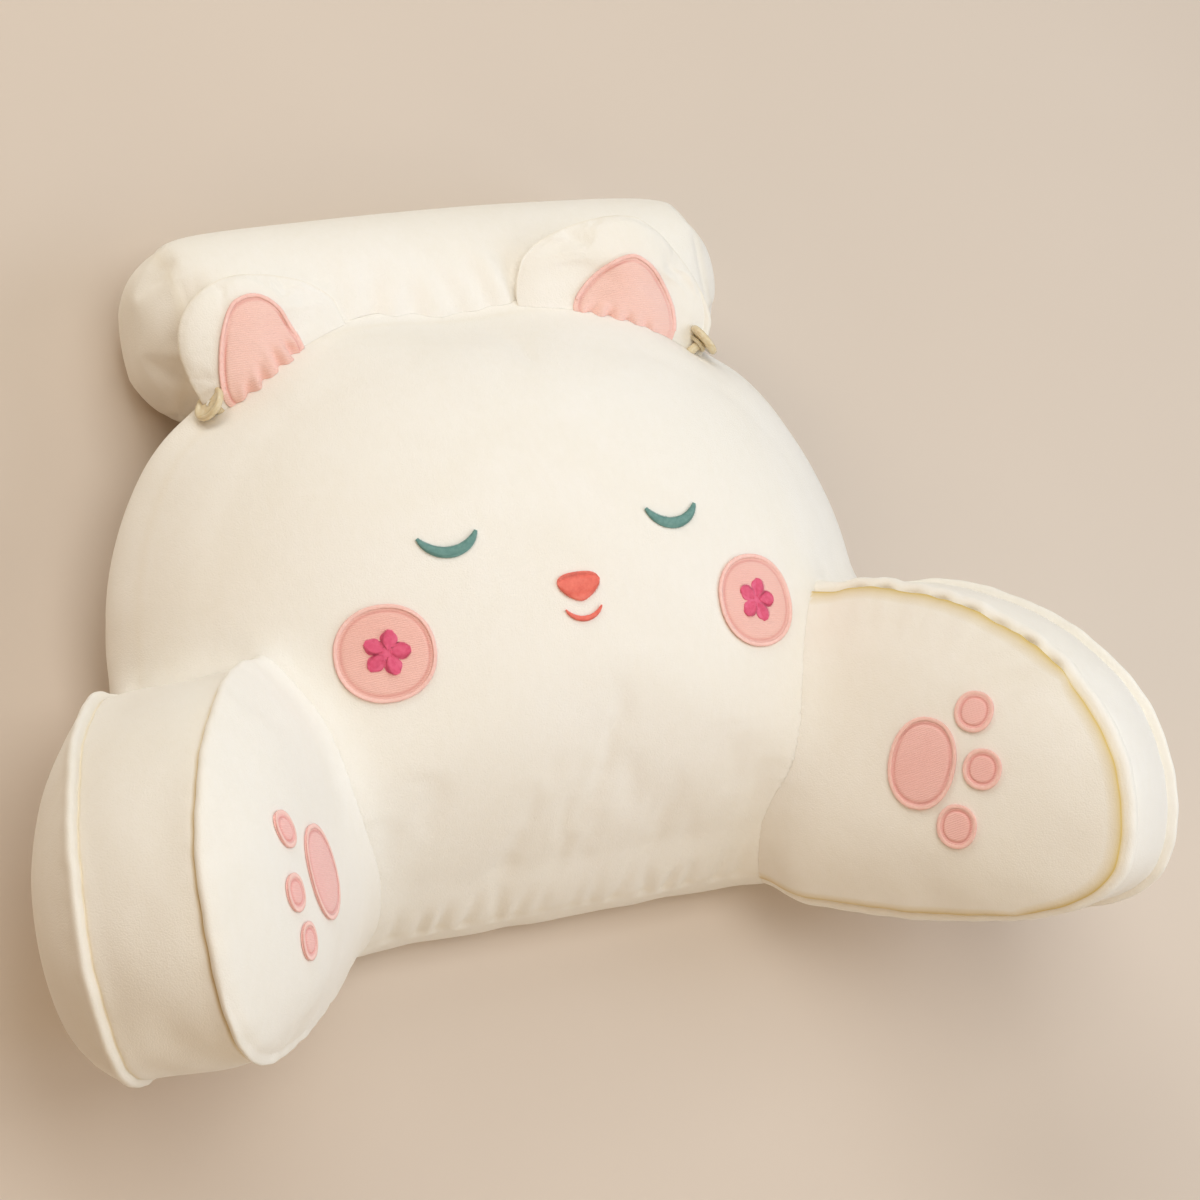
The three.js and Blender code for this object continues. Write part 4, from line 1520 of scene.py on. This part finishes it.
def nose_run(host):
    """Upright stitches from edge to edge, set side by side across the nose."""
    u = np.linspace(-NOSE_RUN, NOSE_RUN, RUN_POINTS) * NOSE["half"]
    share = np.abs(u) / NOSE["half"]
    top = NOSE["up"] * (1 - share**NOSE["up_bow"]) ** (1 / NOSE["up_bow"])
    bottom = -NOSE["down"] * (1 - share**NOSE["down_bow"]) ** (1 / NOSE["down_bow"])
    return host.lay(u, (top + bottom) / 2, NOSE["lift"]), top - bottom, host.out, False


nose_host = front_host(0, NOSE["y"])
mouth = arc_pad("mouth", 0, MOUTH["y"], MOUTH, coral_thread)
nose = patch("nose", nose_host, nose_outline, coral_thread, SMALL_CELLS, 0.2, 0.0)
mouth_stitches = stitched("mouth_stitches", [arc_run(0, MOUTH["y"], MOUTH)], coral_thread, height=1.2)
nose_stitches = stitched("nose_stitches", [nose_run(nose_host)], coral_thread, height=1.2)
face = [
    (mouth, "coral_stitch", ["mouth"]), (mouth_stitches, "coral_stitch", []),
    (nose, "coral_stitch", ["nose"]), (nose_stitches, "coral_stitch", []),
]
for side, hand in HANDS.items():
    lid = arc_pad("eye_" + hand, side * EYE["x"], EYE["y"], EYE, teal_thread)
    lid_run = arc_run(side * EYE["x"], EYE["y"], EYE)
    lid_stitches = stitched(f"eye_{hand}_stitches", [lid_run], teal_thread, height=1.3)
    face += [(lid, "teal_stitch", ["eye_" + hand]), (lid_stitches, "teal_stitch", [])]
print("face pieces:", len(face))

# %% [markdown]
# A flower lies on each cheek. Every petal is one run of stitches from the middle outwards, longest in its
# widest place.

# %% Cheek flowers
FLOWER = {"petals": 5, "radius": 13.0, "core": 0.55, "pad": 0.94, "lift": 0.5, "rim": 0.3, "thick": 0.6}
FLOWER_CELLS = 20
PETAL = {"from": 0.18, "to": 0.98, "points": 24, "wide": 0.78, "widest": 0.62, "half": 0.40, "lift": 1.1}
CHEEK_TOP = PATCH_LIFT + PATCH_THICK


def petal_radius(angle):
    wave = np.sqrt(np.abs(np.cos(FLOWER["petals"] * angle / 2)))
    return FLOWER["radius"] * (FLOWER["core"] + (1 - FLOWER["core"]) * wave)


def flower_pad(name, host):
    bag = Bag(FLOWER_CELLS, 2)
    angle = 2 * np.pi * bag.turn
    reach = bag.choose(bag.share, 1.0, bag.share) * petal_radius(angle) * FLOWER["pad"]
    lift = CHEEK_TOP + FLOWER["lift"] + bag.choose(0, FLOWER["rim"], FLOWER["thick"])
    points = host.lay(reach * np.cos(angle), reach * np.sin(angle), lift)
    return finished(name, points, bag.faces, np.zeros(len(points)), rose_thread)


def petal_runs(host):
    along = np.linspace(PETAL["from"], PETAL["to"], PETAL["points"])
    reach = along * FLOWER["radius"]
    full = np.clip(1 - ((along - PETAL["widest"]) / PETAL["half"]) ** 2, 0.05, 1)
    long = PETAL["wide"] * FLOWER["radius"] * np.sqrt(full)
    runs = []
    for k in range(FLOWER["petals"]):
        middle = 2 * np.pi * k / FLOWER["petals"]
        spots = host.lay(reach * np.cos(middle), reach * np.sin(middle), CHEEK_TOP + PETAL["lift"])
        runs.append((spots, long, host.out, False))
    return runs


for side, hand in HANDS.items():
    name = "cheek_flower_" + hand
    flower = flower_pad(name, cheek_hosts[side])
    flower_stitches = stitched(name + "_stitches", petal_runs(cheek_hosts[side]), rose_thread, height=1.2)
    face += [(flower, "rose_stitch", [name]), (flower_stitches, "rose_stitch", [])]
print("face pieces with flowers:", len(face))

# %% [markdown]
# Two resin buttons sit on the side band below the ears, each with a dished face, a raised rim and two bars of
# thread. An elastic loop from the bolster is led round each shank. The resin is amber and a little clear, so
# it gets some transmission and a marbled colour. The elastic gets the diagonal ribs of a braid, along its own
# UV map.

# %% Resin and elastic
RESIN_MARBLE = 140.0
RESIN_DENTS = 500.0


def resin():
    made = Finish("amber_resin")
    where = made.place()
    marble = made.noise(where, RESIN_MARBLE, 4.0, 0.6, 1.4)
    made.set({
        "Base Color": made.mix(marble * 1.8 - 0.4, colour(232, 206, 152), colour(252, 242, 214)),
        "Roughness": 0.16 + marble * 0.12,
        "Transmission Weight": 0.2,
        "IOR": 1.52,
        "Coat Weight": 0.4,
        "Coat Roughness": 0.08,
        "Normal": made.bumped(made.noise(where, RESIN_DENTS, 2.0), 0.0002, 0.3),
    })
    return made.material


def braid():
    made = Finish("braided_elastic")
    where = made.node("UVMap", {"uv_map": "along"})
    diagonal = {"bands_direction": "DIAGONAL"}
    mirrored = made.stretched(where, (1.0, -1.0, 1.0))
    left = made.node("TexWave", diagonal, {"Vector": where, "Scale": 1.0}, "Fac")
    right = made.node("TexWave", diagonal, {"Vector": mirrored, "Scale": 1.0}, "Fac")
    ribs = left * right
    made.set({
        "Base Color": made.mix(ribs, colour(214, 196, 158), colour(244, 234, 208)),
        "Roughness": 0.75 - ribs * 0.15,
        "Sheen Weight": 0.2,
        "Normal": made.bumped(ribs, 0.0004, 0.6),
    })
    return made.material


amber_resin = resin()
braided_elastic = braid()
white_thread = thread("white_thread", colour(252, 250, 244), colour(232, 226, 212))
print("finishes in all:", len(bpy.data.materials))

# %% [markdown]
# A button is turned from one profile, from the root of its shank to the middle of its dish, and it stands
# square to the band that it is sewn on.

# %% Buttons
BUTTON = {"radius": 11.0, "thick": 4.2, "rim": 1.2, "neck": 4.2, "root": 16.0}
BUTTON_OUT = (0.8, 0.5, 0.33)
BUTTON_CELLS = 12
SHANK = 2.6
BAR = {"half": 1.9, "apart": 0.5, "lift": 0.3, "drop": 0.9, "points": 25}


def button_axes(side):
    """The button's own axes in the cushion's frame: two across its face and one out of it."""
    out = np.array([side * BUTTON_OUT[0], *BUTTON_OUT[1:]])
    out /= np.linalg.norm(out)
    across = np.cross(out, (0, 0, 1))
    across /= np.linalg.norm(across)
    return np.stack([across, np.cross(out, across), out], axis=1)


def button_placed(side, local):
    return local @ button_axes(side).T + BUTTON_AT[side]


def button_piece(side, hand):
    neck = BUTTON["neck"]
    top = neck + BUTTON["thick"]
    dish = top - BUTTON["rim"]
    radius = BUTTON["radius"]
    profile = np.array([
        (SHANK, -BUTTON["root"]), (SHANK, 0.0), (SHANK, neck - 0.4), (SHANK + 0.5, neck),
        (radius - 2.4, neck), (radius - 0.9, neck + 0.4), (radius - 0.1, neck + 1.3), (radius, top - 1.8),
        (radius - 0.3, top - 0.6), (radius - 1.1, top - 0.05), (radius - 1.9, top - 0.05),
        (radius - 2.9, top - 0.5), (radius - 3.7, dish), (3.0, dish - 0.3),
    ])
    bag = Bag(BUTTON_CELLS, len(profile) - 2)
    radial, height = profile[bag.row].T
    angle = 2 * np.pi * bag.turn
    local = np.stack([bag.share * radial * np.cos(angle), bag.share * radial * np.sin(angle), height], axis=1)
    points = button_placed(side, local)
    return finished("button_" + hand, points, bag.faces, np.zeros(len(points)), amber_resin)


def button_thread(side, hand):
    """Two bars of white thread across a button's dish."""
    dish = BUTTON["neck"] + BUTTON["thick"] - BUTTON["rim"]
    along = np.linspace(-1, 1, BAR["points"])
    height = dish + BAR["lift"] - BAR["drop"] * along**4
    runs = []
    for shift in (-BAR["apart"], BAR["apart"]):
        local = np.stack([along * BAR["half"], np.full(len(along), shift), height], axis=1)
        runs.append((button_placed(side, local), 0.8, button_axes(side)[:, 2], False))
    return stitched(f"button_{hand}_thread", runs, white_thread, pitch=0.2, width=0.5, height=0.8, wander=0.0)


trim = []
all_tools = [back_tool, bolster_tool, *ear_tools]
for side, hand in HANDS.items():
    button = button_piece(side, hand)
    cut_by(button, all_tools)
    trim.append((button, "resin", ["button_" + hand]))
    trim.append((button_thread(side, hand), "elastic", []))
print("buttons and their threads:", len(trim))

# %% [markdown]
# A loop is a round cord, drawn as one bend round the shank and two legs that run towards the bolster. Rings
# of points follow that path without twisting, and the UV map follows its length. What lies inside another
# piece is cut away, and the largest bit that is left stays: on the left only a part of the bend, on the right
# all of it.

# %% Loops
LOOP_RADIUS = 1.2
LOOP_REACH = 44.0
LOOP_HEIGHT = 2.2
LOOP_BEND_POINTS = 24
LOOP_LEG_POINTS = 19
CORD_SIDES = 16
BRAID_ALONG = 0.9
BRAID_ROUND = 2
JOINT_GAP = 0.4


def tube(name, path, radius, material, sides=CORD_SIDES):
    tangents = unit(np.gradient(path, axis=0))
    normal = np.cross(tangents[0], (0.3, 0.2, 1.0))
    rings = []
    angle = 2 * np.pi * np.arange(sides) / sides
    for point, tangent in zip(path, tangents):
        normal = normal - tangent * (normal @ tangent)
        normal /= np.linalg.norm(normal)
        other = np.cross(tangent, normal)
        rings.append(point + radius * (np.outer(np.cos(angle), normal) + np.outer(np.sin(angle), other)))
    points = np.concatenate([*rings, path[:1], path[-1:]])
    faces = []
    for i in range(len(path) - 1):
        for k in range(sides):
            n = (k + 1) % sides
            faces.append((i * sides + k, i * sides + n, (i + 1) * sides + n, (i + 1) * sides + k))
    first, last = len(points) - 2, len(points) - 1
    tail = (len(path) - 1) * sides
    caps = [(first, (k + 1) % sides, k) for k in range(sides)]
    caps += [(last, tail + k, tail + (k + 1) % sides) for k in range(sides)]
    mesh = bpy.data.meshes.new(name)
    mesh.from_pydata(placed(points).tolist(), [], faces + caps)
    mesh.materials.append(material)
    mesh.shade_smooth()
    uv = mesh.uv_layers.new(name="along")
    walked = np.concatenate([[0], np.cumsum(np.linalg.norm(np.diff(path, axis=0), axis=1))])
    for loop in mesh.loops:
        ring, k = divmod(loop.vertex_index, sides)
        uv.data[loop.index].uv = (walked[min(ring, len(path) - 1)] * BRAID_ALONG, k / sides * BRAID_ROUND)
    piece = bpy.data.objects.new(name + "_piece", mesh)
    scene.collection.objects.link(piece)
    return piece


def loop_path(side):
    shank = button_placed(side, np.array([[0, 0, LOOP_HEIGHT]]))[0]
    out = button_axes(side)[:, 2]
    to_bolster = np.array([0, BOLSTER_AT[1] - shank[1], BOLSTER_AT[2] - shank[2]])
    to_bolster -= out * (to_bolster @ out)
    to_bolster /= np.linalg.norm(to_bolster)
    aside = np.cross(out, to_bolster)
    turn = SHANK + LOOP_RADIUS + JOINT_GAP
    bend = np.linspace(0, np.pi, LOOP_BEND_POINTS)
    leg = np.linspace(LOOP_REACH, 0, LOOP_LEG_POINTS, endpoint=False)
    beside_leg = np.full(LOOP_LEG_POINTS, turn)
    away = np.concatenate([leg, -turn * np.sin(bend), leg[::-1]])
    beside = np.concatenate([beside_leg, turn * np.cos(bend), -beside_leg])
    return shank + np.outer(away, to_bolster) + np.outer(beside, aside)


for side, hand in HANDS.items():
    loop = tube("loop_" + hand, loop_path(side), LOOP_RADIUS, braided_elastic)
    cut_by(loop, all_tools)
    trim.append((loop, "elastic", ["loop_" + hand]))
for tool in all_tools:
    discard(tool)
print("trim pieces:", len(trim))

# %% [markdown]
# The floor is a plain pale sheet that isn't part of the object. It has a faint
# unevenness of its own, because a perfectly even floor makes soft shadows look drawn.

# %% Floor
FLOOR_HALF = 4.0
FLOOR_HEIGHT = -0.0005
FLOOR_CLOUDS = 2.0
floor_finish = Finish("pale_floor")
floor_clouds = floor_finish.noise(floor_finish.place(), FLOOR_CLOUDS, 3.0)
floor_finish.set({
    "Base Color": floor_finish.mix(floor_clouds, colour(214, 200, 186), colour(222, 209, 196)),
    "Roughness": 0.9,
})
floor_corners = ((-1, -1), (1, -1), (1, 1), (-1, 1))
floor_points = np.array([(x * FLOOR_HALF, y * FLOOR_HALF, FLOOR_HEIGHT) for x, y in floor_corners])
floor = loose_object("floor", floor_points, np.array([[0, 1, 2, 3]]))
floor.data.materials.append(floor_finish.material)
print("floor ready")

# %% [markdown]
# Last, every piece is tied to the frame: it rides on the one body that a cushion has and stands for its
# solid, which is hidden. For each patch the size of its cut and its area are also worked out.

# %% Tie the pieces to the frame
AREA_SAMPLES = 720


def tie(piece, nodes):
    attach(piece, "root")
    if nodes:
        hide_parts(*nodes)


def flat_area(outline):
    """Area inside an outline, in square metres."""
    turn = np.linspace(0, 2 * np.pi, AREA_SAMPLES, endpoint=False)
    return np.pi * np.mean(outline.radius(turn) ** 2) / PER_METRE**2


for piece in [back_cushion, head_bolster, *arms.values(), *ears.values()]:
    tie(piece, [piece.name.removesuffix("_piece")])
for piece, slot, nodes in face + trim:
    tie(piece, nodes)
for piece, outline, carrier in sheets:
    node = piece.name.removesuffix("_piece")
    border = border_pieces[node + "_border"]
    tie(piece, [node])
    tie(border, [])
    cut_size = ((outline.forward + outline.backward) / PER_METRE, (outline.up + outline.down) / PER_METRE)
    flat_area(outline)
